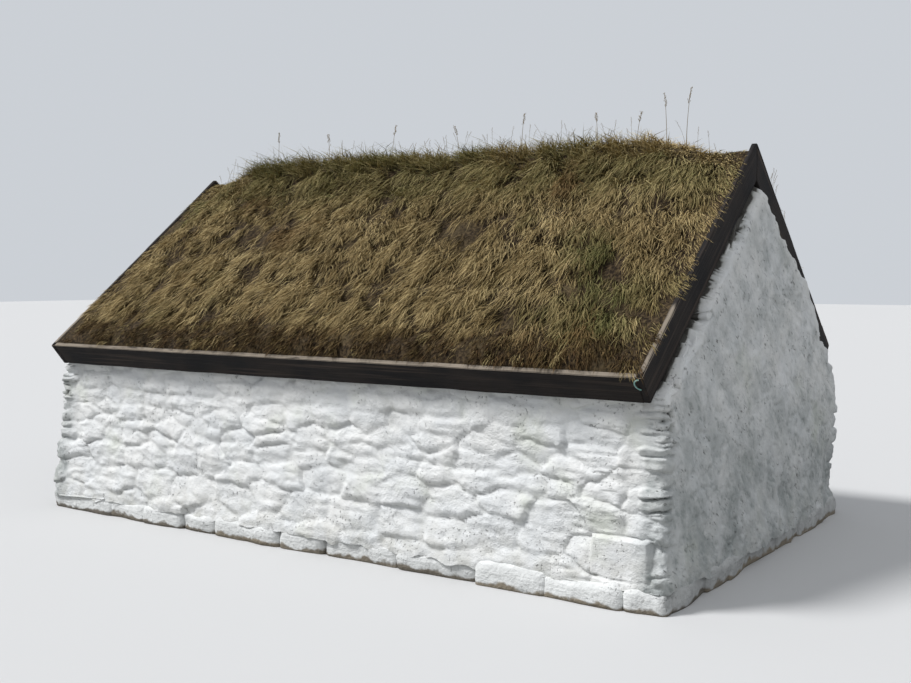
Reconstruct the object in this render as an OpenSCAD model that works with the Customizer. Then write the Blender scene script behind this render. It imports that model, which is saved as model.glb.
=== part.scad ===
// Small turf-roofed rubble house.
// X runs along the ridge, the plain gable faces +X, the doorway is in the gable that faces -X.
// The near side is -Y, the far side is +Y. The origin is on the ground under the middle of the house.
// A place on the roof is given by its depth below the top edge of the boards, square to the slope.

/* [House] */
// Length over the outer faces of the bargeboards
house_length = 4400; // [3800:50:5400]
// Width between the lower outer corners of the bargeboards
span_over_boards = 3040; // [2900:10:3200]
// Height of the lower outer corners of the bargeboards
eaves_z = 1130; // [1080:10:1200]
// Slope of the roof in degrees
roof_pitch = 39; // [36:1:42]

/* [Walls] */
// Lean of the long walls' outer faces in degrees
wall_batter = 3.6; // [2:0.2:4.6]
// Lean of the gables' outer faces in degrees
gable_batter = 1.7; // [1:0.1:2.5]
// How far the gable faces stand out of the bargeboards at the height of the eaves
gable_proud = 68; // [50:2:80]
// How far below the boards' apex the gable faces turn in behind the bargeboards
apex_tuck = 300; // [260:10:340]
// Thickness of the long walls at their head
long_wall_t = 450; // [400:10:520]
// Thickness of the gable walls behind the bargeboards
gable_wall_t = 430; // [380:10:500]
// Gap between the long wall and the lower edge of the eaves board
eaves_gap = 15; // [8:1:25]
// Gap between the rebated gable and the bargeboards
rebate_gap = 3; // [1:0.5:8]
// Width of the stone upstand between the wall plate and the outer face
upstand_t = 48; // [40:1:60]
// Height of the footing course
footing_h = 110; // [70:5:150]
// How far the footing course stands out of the long walls
footing_out = 40; // [20:5:60]
// How far the footing course stands out of the gables
gable_footing_out = 8; // [2:2:20]

/* [Roof boards and turf] */
// Width of the bargeboards and eaves boards
board_w = 165; // [155:5:185]
// Thickness of the bargeboards and eaves boards
board_t = 32; // [24:1:40]
// Depth of soil between the roof boards and the top edge of the bargeboards
soil_t = 105; // [90:5:115]
// Thickness of the roof boards
sarking_t = 22; // [18:1:28]
// How far the turf and its matted grass rise above the boards at the ridge, square to the slope
ridge_rise = 110; // [90:5:140]
// How far they rise near the eaves
eaves_rise = 50; // [40:5:80]
// Height of the swells and folds in the turf
swell_h = 60; // [30:5:70]
// How far the turf lies below the top of the boards along the verges
verge_drop = 12; // [5:1:25]
// How far the crest lies below the boards' apex at both verges
verge_dip = 45; // [35:5:60]
// Length along the ridge over which the turf climbs from the verge
verge_run = 620; // [400:10:800]
// Half the width of the ridge turf
ridge_half = 220; // [180:5:260]
// Extra height of the rounded crest over a plain round ridge
crest_lift = 25; // [0:5:50]

/* [Roof timbers] */
// Number of rafter couples
couples = 5; // [3:1:7]
// Width of a rafter
rafter_w = 50; // [40:1:60]
// Depth of a rafter
rafter_d = 75; // [65:1:90]
// Length of the level seat at a rafter's foot
seat_l = 50; // [40:1:60]
// Width of a wall plate
plate_w = 90; // [75:1:110]
// Height of a wall plate
plate_h = 45; // [35:1:60]
// Thickness of the ridge board
ridge_t = 25; // [20:1:35]
// Depth of the ridge board
ridge_d = 125; // [115:5:150]
// Height of the underside of the collar ties
collar_z = 1680; // [1600:10:1760]
// Depth of a collar tie
collar_d = 90; // [70:5:110]
// Thickness of a collar tie
collar_t = 28; // [20:1:35]
// Space between the end of a collar tie and the roof boards
collar_gap = 8; // [4:1:15]

/* [Doorway] */
// Width of the doorway in the wall
doorway_w = 640; // [580:10:700]
// Height of the underside of the lintel
doorway_h = 1500; // [1400:10:1540]
// Height of the lintel
lintel_h = 110; // [90:5:130]
// Bearing of the lintel on each pier
lintel_bearing = 130; // [100:5:150]
// Height of the threshold stone
threshold_h = 130; // [90:5:160]
// How far the threshold stands back from the face of the footing course
threshold_back = 5; // [0:5:60]

/* [Door] */
// Set back of the door frame behind the bargeboard faces
frame_set_back = 60; // [30:5:100]
// Width of a frame post
post_w = 56; // [45:1:70]
// Depth of the frame
frame_d = 70; // [60:1:90]
// Number of planks
planks = 5; // [4:1:6]
// Thickness of the planks
plank_t = 25; // [20:1:32]
// Gap between planks
plank_gap = 2; // [1:0.5:3]
// Gap round the door leaf
leaf_gap = 5; // [3:1:8]
// Gap under the door leaf
door_foot_gap = 12; // [8:1:20]
// Height of a ledge behind the planks
ledge_h = 95; // [80:5:120]
// Thickness of a ledge
ledge_t = 22; // [18:1:28]
// Distance from the ends of the door to the ledges
ledge_inset = 130; // [100:10:180]
// Length of a hinge strap on the door
strap_l = 330; // [260:10:380]
// Height of a hinge strap
strap_h = 34; // [28:1:44]
// Thickness of the ironwork
iron_t = 5; // [4:0.5:7]
// Radius of the hinge knuckle
knuckle_r = 8; // [7:0.5:10]
// Length of the hinge plate on the post
hinge_plate_l = 30; // [24:1:36]
// Height of the latch above the threshold
latch_h = 700; // [600:10:800]

/* [Hook and stalks] */
// Thickness of the hook's rod
hook_d = 7; // [5:0.5:9]
// Radius of the hook's bend
hook_r = 32; // [26:1:36]
// Distance of the hook's top end below the top edge of the eaves board
hook_drop = 10; // [8:1:20]
// Thickness of a seed stalk at its foot
stalk_d = 5; // [4:0.5:7]
// Length of the longest seed stalk
stalk_h = 310; // [250:5:360]

/* [Hidden] */

// Colours as the photograph shows them
limewash = [0.86, 0.87, 0.86];
bare_stone = [0.45, 0.42, 0.38];
dark_board = [0.16, 0.15, 0.15];
pine = [0.55, 0.43, 0.30];
dry_turf = [0.50, 0.42, 0.24];
teal_rod = [0.50, 0.68, 0.66];
dark_iron = [0.14, 0.14, 0.15];

// Roof geometry
tip_y = span_over_boards / 2;
apex_z = eaves_z + tip_y * tan(roof_pitch);
slope_l = tip_y / cos(roof_pitch);
sarking_depth = soil_t + sarking_t;
rafter_depth = sarking_depth + rafter_d;
half_l = house_length / 2;
board_back = half_l - board_t;

// Height of the plane that lies a given depth below the top edge of the boards
function roof_z(y, depth) = apex_z - abs(y) * tan(roof_pitch) - depth / cos(roof_pitch);

// Point on the near slope: distance down from the apex and depth below the top edge, as [y, z]
function on_near_slope(down, depth) = [
    -down * cos(roof_pitch) + depth * sin(roof_pitch),
    apex_z - down * sin(roof_pitch) - depth * cos(roof_pitch)
];

// Walls
eaves_inner_foot = on_near_slope(slope_l - board_t, board_w);
batter = tan(wall_batter);
side_at_ground = -eaves_inner_foot[0] - eaves_gap + batter * eaves_inner_foot[1];
function side_y(z) = side_at_ground - batter * z;
function gable_x(z) = half_l + gable_proud + tan(gable_batter) * (eaves_z - z);
tuck_z = apex_z - apex_tuck;
tuck_h = 45;
// The battered side meets the underside of the roof boards at this height
head_y = (side_at_ground - batter * roof_z(0, sarking_depth)) / (1 - batter * tan(roof_pitch));
head_z = roof_z(head_y, sarking_depth);
upstand_y = head_y - upstand_t;
plate_top_z = roof_z(upstand_y - seat_l, rafter_depth);
bench_z = plate_top_z - plate_h;
inner_y = head_y - long_wall_t;
inner_x = board_back - gable_wall_t;
footing_y = side_y(footing_h) + footing_out;
footing_x = gable_x(footing_h) + gable_footing_out;
past = 400;

// Doorway and door
door_y = doorway_w / 2;
lintel_y = door_y + lintel_bearing;
lintel_top_z = doorway_h + lintel_h;
frame_face_x = half_l - frame_set_back;
frame_y = door_y - post_w;
leaf_y = frame_y - leaf_gap;
leaf_foot_z = threshold_h + door_foot_gap;
leaf_head_z = doorway_h - post_w - leaf_gap;
plank_w = (2 * leaf_y - (planks - 1) * plank_gap) / planks;
ledge_end_gap = 22;
latch_z = threshold_h + latch_h;
latch_plate = [26, 130];
latch_handle_r = 38;
latch_rod_r = 4.5;
latch_bar = [95, 16, 8];
latch_in = 45;
latch_reach = 38;
latch_bar_drop = 4;

// Turf
crest_z = roof_z(ridge_half, -ridge_rise) + ridge_half * tan(roof_pitch) / 2 + crest_lift;
crest_steps = 11;
turf_eaves_top = 8;
turf_shoulder = 260;
// Swells lie half a step high and half a step low in turn, none quite like the next
swell_step = 155;
swell_reach = slope_l - turf_shoulder;
function swell(i) = swell_h * ((i % 2 == 0 ? 0.35 : -0.35) + 0.15 * sin(77 * i));
fold_tilt = atan((ridge_rise - eaves_rise) / swell_reach);
// Seed stalks: place as a share of half the house, length as a share of the longest, and lean
stalks = [
    [0.805, 1.00, 2, 3], [0.749, 0.87, -2, -2], [0.660, 0.52, 5, 4], [0.540, 0.60, -5, -3],
    [0.290, 0.70, 4, -2], [0.070, 0.56, -4, 3], [-0.190, 0.74, 3, 4], [-0.450, 0.66, -3, -4],
    [-0.680, 0.80, 4, 2]
];

// Extrudes an outline drawn in [y, z] along the house
module along_house(from, to)
    translate([from, 0, 0]) rotate([90, 0, 90]) linear_extrude(height = to - from) children();

// Extrudes an outline drawn in [x, z] across the house
module across_house(from, to)
    translate([0, to, 0]) rotate([90, 0, 0]) linear_extrude(height = to - from) children();

module far_side() mirror([0, 1, 0]) children();

module door_end() mirror([1, 0, 0]) children();

// Whole gable: battered on its face and sides, rebated for the bargeboards
module gable_mass() {
    difference() {
        intersection() {
            along_house(inner_x, footing_x) polygon([
                [-side_y(footing_h), footing_h],
                [-head_y, head_z],
                [0, roof_z(0, sarking_depth)],
                [head_y, head_z],
                [side_y(footing_h), footing_h]
            ]);
            across_house(-tip_y, tip_y) polygon([
                [inner_x, footing_h],
                [gable_x(footing_h), footing_h],
                [gable_x(tuck_z), tuck_z],
                [board_back - rebate_gap, tuck_z + tuck_h],
                [board_back - rebate_gap, apex_z],
                [inner_x, apex_z]
            ]);
        }
        along_house(board_back - rebate_gap, footing_x + 1) polygon([
            [-tip_y, roof_z(tip_y, board_w + rebate_gap)],
            [0, roof_z(0, board_w + rebate_gap)],
            [tip_y, roof_z(tip_y, board_w + rebate_gap)],
            [tip_y, apex_z],
            [-tip_y, apex_z]
        ]);
    }
}

module gable_wall() color(limewash) gable_mass();

// Everything over the doorway between the ends of the lintel
module over_doorway(from_z, to_z)
    translate([-footing_x - 1, -lintel_y, from_z]) cube([footing_x + 1, 2 * lintel_y, to_z - from_z]);

module near_door_pier() color(limewash) difference() {
    door_end() gable_mass();
    translate([-footing_x - 1, -door_y, 0]) cube([footing_x + 1, footing_x, apex_z]);
    over_doorway(doorway_h, apex_z);
}

module far_door_pier() color(limewash) far_side() near_door_pier();

module over_door_wall() color(limewash) intersection() {
    door_end() gable_mass();
    over_doorway(lintel_top_z, apex_z);
}

module door_lintel() color(limewash) intersection() {
    door_end() gable_mass();
    over_doorway(doorway_h, lintel_top_z);
}

// Long wall with a bench for the plate and a stone upstand that closes the eaves
module near_long_wall() color(limewash) along_house(-inner_x, inner_x) polygon([
    [-side_y(footing_h), footing_h],
    [-head_y, head_z],
    [-upstand_y, roof_z(upstand_y, sarking_depth)],
    [-upstand_y, bench_z],
    [-inner_y, bench_z],
    [-inner_y, footing_h]
]);

module far_long_wall() color(limewash) far_side() near_long_wall();

// Footing course, one slab under each wall
module footing_slab(x0, x1, y0, y1)
    translate([x0, y0, 0]) cube([x1 - x0, y1 - y0, footing_h]);

module near_footing() color(limewash) footing_slab(-footing_x, footing_x, -footing_y, -inner_y);

module far_footing() color(limewash) footing_slab(-footing_x, footing_x, inner_y, footing_y);

module gable_footing() color(limewash) footing_slab(inner_x, footing_x, -inner_y, inner_y);

module door_gable_footing() color(limewash) {
    footing_slab(-footing_x, -inner_x, -inner_y, -door_y);
    footing_slab(-footing_x, -inner_x, door_y, inner_y);
}

module threshold_stone() color(bare_stone)
    translate([-footing_x + threshold_back, -door_y, 0])
        cube([footing_x - threshold_back - inner_x, 2 * door_y, threshold_h]);

// Roof timbers
module near_wall_plate() color(pine)
    translate([-inner_x, -upstand_y, bench_z]) cube([2 * inner_x, plate_w, plate_h]);

module far_wall_plate() color(pine) far_side() near_wall_plate();

// Middles of the couples, at even spaces between the gables
function couple_x(i) = -inner_x + (i + 0.5) * 2 * inner_x / couples;

module near_rafters() color(pine)
    for (i = [0 : couples - 1])
        along_house(couple_x(i) - rafter_w / 2, couple_x(i) + rafter_w / 2) polygon([
            [-ridge_t / 2, roof_z(ridge_t / 2, sarking_depth)],
            [-ridge_t / 2, roof_z(ridge_t / 2, rafter_depth)],
            [-upstand_y + seat_l, plate_top_z],
            [-upstand_y, plate_top_z],
            [-upstand_y, roof_z(upstand_y, sarking_depth)]
        ]);

module far_rafters() color(pine) far_side() near_rafters();

// Reach of a collar tie at a height: its ends are cut to the slope of the roof
function collar_y(z) = (roof_z(0, sarking_depth + collar_gap) - z) / tan(roof_pitch);

module collar_ties() color(pine)
    for (i = [0 : couples - 1])
        along_house(couple_x(i) + rafter_w / 2, couple_x(i) + rafter_w / 2 + collar_t) polygon([
            [-collar_y(collar_z), collar_z],
            [collar_y(collar_z), collar_z],
            [collar_y(collar_z + collar_d), collar_z + collar_d],
            [-collar_y(collar_z + collar_d), collar_z + collar_d]
        ]);

module ridge_board() color(pine)
    translate([-inner_x, -ridge_t / 2, roof_z(ridge_t / 2, sarking_depth) - ridge_d])
        cube([2 * inner_x, ridge_t, ridge_d]);

module near_sarking() color(pine) along_house(-board_back, board_back) polygon([
    on_near_slope(slope_l - board_t, soil_t),
    on_near_slope(slope_l - board_t, sarking_depth),
    [0, roof_z(0, sarking_depth)],
    [0, roof_z(0, soil_t)]
]);

module far_sarking() color(pine) far_side() near_sarking();

// Boards that hold the turf
module near_bargeboard() along_house(board_back, half_l) polygon([
    on_near_slope(slope_l, 0),
    on_near_slope(slope_l, board_w),
    [0, roof_z(0, board_w)],
    [0, apex_z]
]);

module gable_near_bargeboard() color(dark_board) near_bargeboard();

module gable_far_bargeboard() color(dark_board) far_side() near_bargeboard();

module door_near_bargeboard() color(dark_board) door_end() near_bargeboard();

module door_far_bargeboard() color(dark_board) door_end() far_side() near_bargeboard();

module near_eaves_board() color(dark_board) along_house(-board_back, board_back) polygon([
    on_near_slope(slope_l, 0),
    on_near_slope(slope_l, board_w),
    on_near_slope(slope_l - board_t, board_w),
    on_near_slope(slope_l - board_t, 0)
]);

module far_eaves_board() color(dark_board) far_side() near_eaves_board();

// Rise of the turf over the boards at a place along the house: low at the verges, full inside
function verge_share(x) =
    let (t = min(1, (board_back - abs(x)) / verge_run)) t * t * (3 - 2 * t);

// Outline of the turf seen along the slope, from verge to verge
verge_steps = 5;
inner_rise = ridge_rise + swell_h / 2;
function turf_height(x) = -verge_drop + (inner_rise + verge_drop) * verge_share(x);
climb = [for (i = [0 : verge_steps]) board_back - verge_run * i / verge_steps];
turf_outline = concat(
    [[-board_back, -soil_t - past], [board_back, -soil_t - past]],
    [for (x = climb) [x, turf_height(x)]],
    [for (i = [verge_steps : -1 : 0]) [-climb[i], turf_height(climb[i])]]
);

// Space that the turf may fill on the near slope, carried on past the ridge
module near_turf_space()
    translate([0, 0, apex_z]) rotate([roof_pitch, 0, 0]) across_house(-slope_l - past, past)
        polygon(turf_outline);

// Swells that run across the slope: rise of the turf at a distance down from the apex
swells_down = floor((swell_reach - ridge_half / cos(roof_pitch)) / swell_step);
function even_rise(down) = ridge_rise - (ridge_rise - eaves_rise) * down / swell_reach;
swell_profile = [
    for (k = [swells_down : -1 : 1]) let (down = swell_reach - k * swell_step)
        on_near_slope(down, -even_rise(down) - swell(k))
];

// Folds that run down the slope, drawn in [x, height] over the even top of the turf
folds = floor(board_back / swell_step);
fold_outline = concat(
    [[board_back, 0], [board_back, -past], [-board_back, -past], [-board_back, 0]],
    [for (i = [-folds : folds]) [i * swell_step, swell(abs(i) * 3 + (i < 0 ? 2 : 0))]]
);

// Space under the folds of the near slope
module near_turf_folds()
    translate([0, 0, apex_z]) rotate([roof_pitch, 0, 0]) translate([0, -swell_reach, eaves_rise])
        rotate([fold_tilt, 0, 0]) across_house(-past, slope_l + past) polygon(fold_outline);

// Turf of one slope: rolled down to the eaves board, climbing from the verges, thicker uphill
module near_turf() color(dry_turf) intersection() {
    along_house(-board_back, board_back) polygon(concat(
        [
            on_near_slope(slope_l - board_t, soil_t),
            [-ridge_half, roof_z(ridge_half, soil_t)],
            [-ridge_half, roof_z(ridge_half, -ridge_rise)]
        ],
        swell_profile,
        [
            on_near_slope(swell_reach, -eaves_rise),
            on_near_slope(slope_l - turf_shoulder / 2, -eaves_rise * 0.72),
            on_near_slope(slope_l - turf_shoulder / 4, -eaves_rise * 0.3),
            on_near_slope(slope_l - board_t, turf_eaves_top)
        ]
    ));
    near_turf_space();
    near_turf_folds();
}

module far_turf() color(dry_turf) far_side() near_turf();

// Rounded turf over the ridge: its height at a distance from the middle
function crest_at(y) = crest_z - (crest_z - roof_z(ridge_half, -ridge_rise)) * pow(y / ridge_half, 2);

// Uneven line of the crest: it dips below the boards' apex at both verges
crest_dip = apex_z - verge_dip;
function crest_point(i) =
    let (full = crest_z + 0.5 * swell(abs(i) + (i < 0 ? 1 : 0)))
        crest_dip + (full - crest_dip) * verge_share(i * swell_step);
function crest_line(x) =
    let (i = floor(x / swell_step), t = x / swell_step - i)
        min(crest_at(ridge_half / crest_steps), (1 - t) * crest_point(i) + t * crest_point(i + 1));

module ridge_turf() color(dry_turf) intersection() {
    along_house(-board_back, board_back) polygon(concat(
        [[ridge_half, roof_z(ridge_half, soil_t)]],
        [for (i = [0 : crest_steps]) let (y = ridge_half * (1 - 2 * i / crest_steps)) [y, crest_at(y)]],
        [[-ridge_half, roof_z(ridge_half, soil_t)], [0, roof_z(0, soil_t)]]
    ));
    near_turf_space();
    far_side() near_turf_space();
    across_house(-ridge_half, ridge_half) polygon(concat(
        [[board_back, crest_dip], [board_back, 0], [-board_back, 0], [-board_back, crest_dip]],
        [for (i = [-folds : folds]) [i * swell_step, crest_point(i)]]
    ));
}

// Dry seed stalks that stand up from the crest
module seed_stalks() color(dry_turf)
    for (s = stalks)
        translate([s[0] * half_l, 0, crest_line(s[0] * half_l)])
            rotate([s[3], s[2], 0])
                cylinder(h = stalk_h * s[1], d1 = stalk_d, d2 = stalk_d / 2, $fn = 16);

// Bent rod across the joint between the eaves board and the bargeboard, open towards the gable
hook_start = 95;
hook_turn = 165;
hook_seat = 0.2;
module eaves_hook() color(teal_rod)
    translate([board_back + board_t / 2, -tip_y, eaves_z])
        rotate([90 + roof_pitch, 0, 0])
            translate([0, -hook_r - hook_drop, hook_d / 2 + hook_seat])
                rotate([0, 0, hook_start]) rotate_extrude(angle = hook_turn, $fn = 48)
                    translate([hook_r, 0]) circle(d = hook_d, $fn = 24);

// Door frame and door
module near_post() translate([-frame_face_x, -door_y, threshold_h])
    cube([frame_d, post_w, doorway_h - post_w - threshold_h]);

module door_posts() color(dark_board) {
    near_post();
    far_side() near_post();
}

module door_frame_head() color(dark_board) translate([-frame_face_x, -door_y, doorway_h - post_w])
    cube([frame_d, 2 * door_y, post_w]);

module door_planks() color(dark_board)
    for (i = [0 : planks - 1])
        translate([-frame_face_x, -leaf_y + i * (plank_w + plank_gap), leaf_foot_z])
            cube([plank_t, plank_w, leaf_head_z - leaf_foot_z]);

ledge_heights = [
    leaf_foot_z + ledge_inset,
    (leaf_foot_z + leaf_head_z - ledge_h) / 2,
    leaf_head_z - ledge_inset - ledge_h
];

module door_ledges() color(dark_board)
    for (z = ledge_heights)
        translate([-frame_face_x + plank_t, -leaf_y + ledge_end_gap, z])
            cube([ledge_t, 2 * (leaf_y - ledge_end_gap), ledge_h]);

// One strap hinge: a tapered strap on the planks, a knuckle in line with the gap and a plate on the post
module strap_hinge() {
    hinge_y = -frame_y + leaf_gap / 2;
    rotate([90, 0, -90]) linear_extrude(height = iron_t) polygon([
        [-hinge_y - knuckle_r / 2, -strap_h / 2],
        [-hinge_y - strap_l, -strap_h / 4],
        [-hinge_y - strap_l, strap_h / 4],
        [-hinge_y - knuckle_r / 2, strap_h / 2]
    ]);
    translate([-iron_t, hinge_y - hinge_plate_l, -strap_h]) cube([iron_t, hinge_plate_l, 2 * strap_h]);
    translate([-knuckle_r, hinge_y, -strap_h]) cylinder(h = 2 * strap_h, r = knuckle_r, $fn = 24);
}

module door_hinges() color(dark_iron)
    for (z = [ledge_heights[0] + ledge_h / 2, ledge_heights[2] + ledge_h / 2])
        translate([-frame_face_x, 0, z]) strap_hinge();

// Latch: plate and round handle on the planks, and a bar that reaches over the post
module door_latch() color(dark_iron) translate([-frame_face_x, leaf_y, latch_z]) {
    translate([-iron_t, -latch_plate[0] - latch_in, -latch_plate[1] / 2])
        cube([iron_t, latch_plate[0], latch_plate[1]]);
    translate([-iron_t, -latch_plate[0] / 2 - latch_in, 0]) rotate([90, 0, 0])
        rotate([0, 0, 90]) rotate_extrude(angle = 180, $fn = 32) translate([latch_handle_r, 0])
            circle(r = latch_rod_r, $fn = 16);
    translate([
        -iron_t - latch_bar[2],
        latch_reach - latch_bar[0],
        latch_plate[1] / 2 - latch_bar[1] - latch_bar_drop
    ])
        cube([latch_bar[2], latch_bar[0], latch_bar[1]]);
}

gable_wall();
near_door_pier();
far_door_pier();
over_door_wall();
door_lintel();
near_long_wall();
far_long_wall();
near_footing();
far_footing();
gable_footing();
door_gable_footing();
threshold_stone();
near_wall_plate();
far_wall_plate();
near_rafters();
far_rafters();
collar_ties();
ridge_board();
near_sarking();
far_sarking();
near_turf();
far_turf();
ridge_turf();
seed_stalks();
gable_near_bargeboard();
gable_far_bargeboard();
door_near_bargeboard();
door_far_bargeboard();
near_eaves_board();
far_eaves_board();
eaves_hook();
door_posts();
door_frame_head();
door_planks();
door_ledges();
door_hinges();
door_latch();
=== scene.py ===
"""The small turf-roofed stone house: walls, stones, boards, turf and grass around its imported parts."""
import itertools
import math

import bmesh
import bpy
import numpy as np
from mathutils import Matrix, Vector
from mathutils.kdtree import KDTree


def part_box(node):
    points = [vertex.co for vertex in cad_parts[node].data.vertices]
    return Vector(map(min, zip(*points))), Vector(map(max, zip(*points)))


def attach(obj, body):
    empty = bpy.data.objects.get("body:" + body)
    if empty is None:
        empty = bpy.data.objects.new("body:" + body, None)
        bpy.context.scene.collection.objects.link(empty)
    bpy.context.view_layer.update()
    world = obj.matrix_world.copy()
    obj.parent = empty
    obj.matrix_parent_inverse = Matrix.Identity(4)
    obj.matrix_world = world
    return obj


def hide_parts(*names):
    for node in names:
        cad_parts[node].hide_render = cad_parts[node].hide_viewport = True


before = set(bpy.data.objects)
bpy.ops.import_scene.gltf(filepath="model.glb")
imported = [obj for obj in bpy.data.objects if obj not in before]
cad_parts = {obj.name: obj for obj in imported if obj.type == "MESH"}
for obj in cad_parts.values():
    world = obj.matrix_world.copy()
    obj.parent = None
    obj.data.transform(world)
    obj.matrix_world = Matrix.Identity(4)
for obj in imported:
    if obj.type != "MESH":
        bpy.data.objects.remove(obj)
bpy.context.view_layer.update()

# Measures of the house in metres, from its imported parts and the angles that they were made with
pitch = math.radians(39)
batter = math.tan(math.radians(3.6))
gable_batter = math.tan(math.radians(1.7))
board_depth, sarking_t = 0.165, 0.022
board_low, board_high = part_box("gable_near_bargeboard")
board_back, board_face = board_low.x, board_high.x
board_t = board_face - board_back
apex_z, half_span = board_high.z, -board_low.y
slope_length = half_span / math.cos(pitch)
footing_low, footing_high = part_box("near_footing")
footing_x, footing_y, footing_top = footing_high.x, -footing_low.y, footing_high.z
gable_low, gable_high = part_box("gable_wall")
inner_x, gable_foot = gable_low.x, gable_high.x
long_low, long_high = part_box("near_long_wall")
inner_y, side_foot = -long_high.y, -long_low.y
lintel_low, lintel_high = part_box("door_lintel")
lintel_y = lintel_high.y
door_y = -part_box("near_door_pier")[1].y
plate_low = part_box("near_wall_plate")[0]
upstand_y, bench_z = -plate_low.y, plate_low.z
soil_depth = (apex_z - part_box("near_sarking")[1].z) * math.cos(pitch)
sarking_depth = soil_depth + sarking_t


def roof_z(y, depth):
    """Height on the roof at a depth below the top edge of the boards, square to the slope."""
    return apex_z - np.abs(y) * math.tan(pitch) - depth / math.cos(pitch)


def roof_depth(points):
    """Depth of points below the top edge of the boards, square to the slope."""
    return (apex_z - np.abs(points[:, 1]) * math.tan(pitch) - points[:, 2]) * math.cos(pitch)


def over_slope(down, rise):
    """Distance from the ridge line and height of a place that lies over the boards' top edge."""
    across = down * math.cos(pitch) + rise * math.sin(pitch)
    return across, apex_z - down * math.sin(pitch) + rise * math.cos(pitch)


def gable_face(z):
    """Distance of a gable's outer face from the middle of the house."""
    return gable_foot - gable_batter * (z - footing_top)


def side_face(z):
    """Distance of a long wall's outer face from the middle of the house."""
    return side_foot - batter * (z - footing_top)


def fade(x, low, high):
    """Smooth step from 0 at low to 1 at high."""
    t = np.clip((x - low) / (high - low), 0, 1)
    return t * t * (3 - 2 * t)


def soft_noise(points, size, seed):
    """Smooth noise from -1 to 1, with lumps about as wide as size: one number, or one for each axis."""
    place = points / np.asarray(size) + seed * 19.19
    base = np.floor(place).astype(np.int64)
    part = place - base
    part = part * part * (3 - 2 * part)
    total = np.zeros(len(points))
    for corner in itertools.product((0, 1), repeat=3):
        key = (base + corner) @ np.array([73856093, 19349663, 83492791]) + seed * 2654435
        key = (key ^ (key >> 13)) * 1274126177
        key = (key ^ (key >> 16)) & 0xFFFF
        weight = np.prod(np.where(corner, part, 1 - part), axis=1)
        total += weight * (key / 32767.5 - 1)
    return total


def vectors(x, y=0.0, z=0.0):
    """Points or directions from their coordinates, each an array or one number."""
    return np.stack(np.broadcast_arrays(x, y, z), -1)


def unit(directions):
    """The same directions with length 1."""
    return directions / np.linalg.norm(directions, axis=1, keepdims=True)


# Making pieces

# Faces of a box whose eight corners are numbered as itertools.product gives them
box_faces = np.array([[0, 1, 3, 2], [4, 6, 7, 5], [0, 4, 5, 1], [2, 3, 7, 6], [0, 2, 6, 4], [1, 5, 7, 3]])


def grid_quads(rows, columns):
    """Faces of a grid of points numbered row by row."""
    corner = np.arange(rows * columns).reshape(rows, columns)
    return np.stack([corner[:-1, :-1], corner[:-1, 1:], corner[1:, 1:], corner[1:, :-1]], -1).reshape(-1, 4)


def tube_quads(rings, sides):
    """Faces of a tube of points numbered ring by ring."""
    corner = np.arange(rings * sides).reshape(rings, sides)
    ahead = np.roll(corner, -1, axis=1)
    return np.stack([corner[:-1], ahead[:-1], ahead[1:], corner[1:]], -1).reshape(-1, 4)


def edge_quads(loop, first_back):
    """Faces between a closed loop of points and its copy, which is numbered on from first_back."""
    behind = first_back + np.arange(len(loop))
    return np.stack([loop, behind, np.roll(behind, -1), np.roll(loop, -1)], -1)


def place_piece(name, mesh, finish, replaces=()):
    """Puts a finished mesh into the scene as a piece of the house."""
    mesh.materials.clear()
    mesh.materials.append(finish)
    piece = bpy.data.objects.new(name, mesh)
    bpy.context.scene.collection.objects.link(piece)
    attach(piece, "root")
    if replaces:
        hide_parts(*replaces)
    return piece


def make_piece(name, points, smooth_faces, finish, replaces=(), flat_faces=(), marks=None):
    """A piece of the house from its points and from sets of faces with equally many corners each."""
    sets = [np.asarray(faces) for faces in (*smooth_faces, *flat_faces) if len(faces)]
    corners = np.concatenate([np.full(len(faces), faces.shape[1]) for faces in sets])
    smooth = np.arange(len(corners)) < sum(len(faces) for faces in smooth_faces)
    mesh = bpy.data.meshes.new(name)
    mesh.vertices.add(len(points))
    mesh.vertices.foreach_set("co", np.asarray(points, np.float32).ravel())
    mesh.loops.add(int(corners.sum()))
    mesh.loops.foreach_set("vertex_index", np.concatenate([faces.ravel() for faces in sets]).astype(np.int32))
    mesh.polygons.add(len(corners))
    mesh.polygons.foreach_set("loop_start", (np.cumsum(corners) - corners).astype(np.int32))
    mesh.update(calc_edges=True)
    mesh.polygons.foreach_set("use_smooth", smooth)
    for mark, values in (marks or {}).items():
        layer = mesh.attributes.new(mark, "FLOAT", "POINT")
        layer.data.foreach_set("value", np.asarray(values, np.float32))
    mesh.validate()
    return place_piece(name, mesh, finish, replaces)


def tidy_mesh(piece):
    """Joins points that coincide, drops loose ones and keeps the edges of flat faces sharp."""
    work = bmesh.new()
    work.from_mesh(piece.data)
    bmesh.ops.delete(work, geom=[v for v in work.verts if not v.link_faces], context="VERTS")
    bmesh.ops.remove_doubles(work, verts=work.verts, dist=1e-5)
    bmesh.ops.dissolve_degenerate(work, edges=work.edges, dist=1e-6)
    bmesh.ops.recalc_face_normals(work, faces=work.faces)
    for edge in work.edges:
        if len({face.smooth for face in edge.link_faces}) > 1:
            edge.smooth = False
    work.to_mesh(piece.data)
    work.free()


# Finishes

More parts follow.
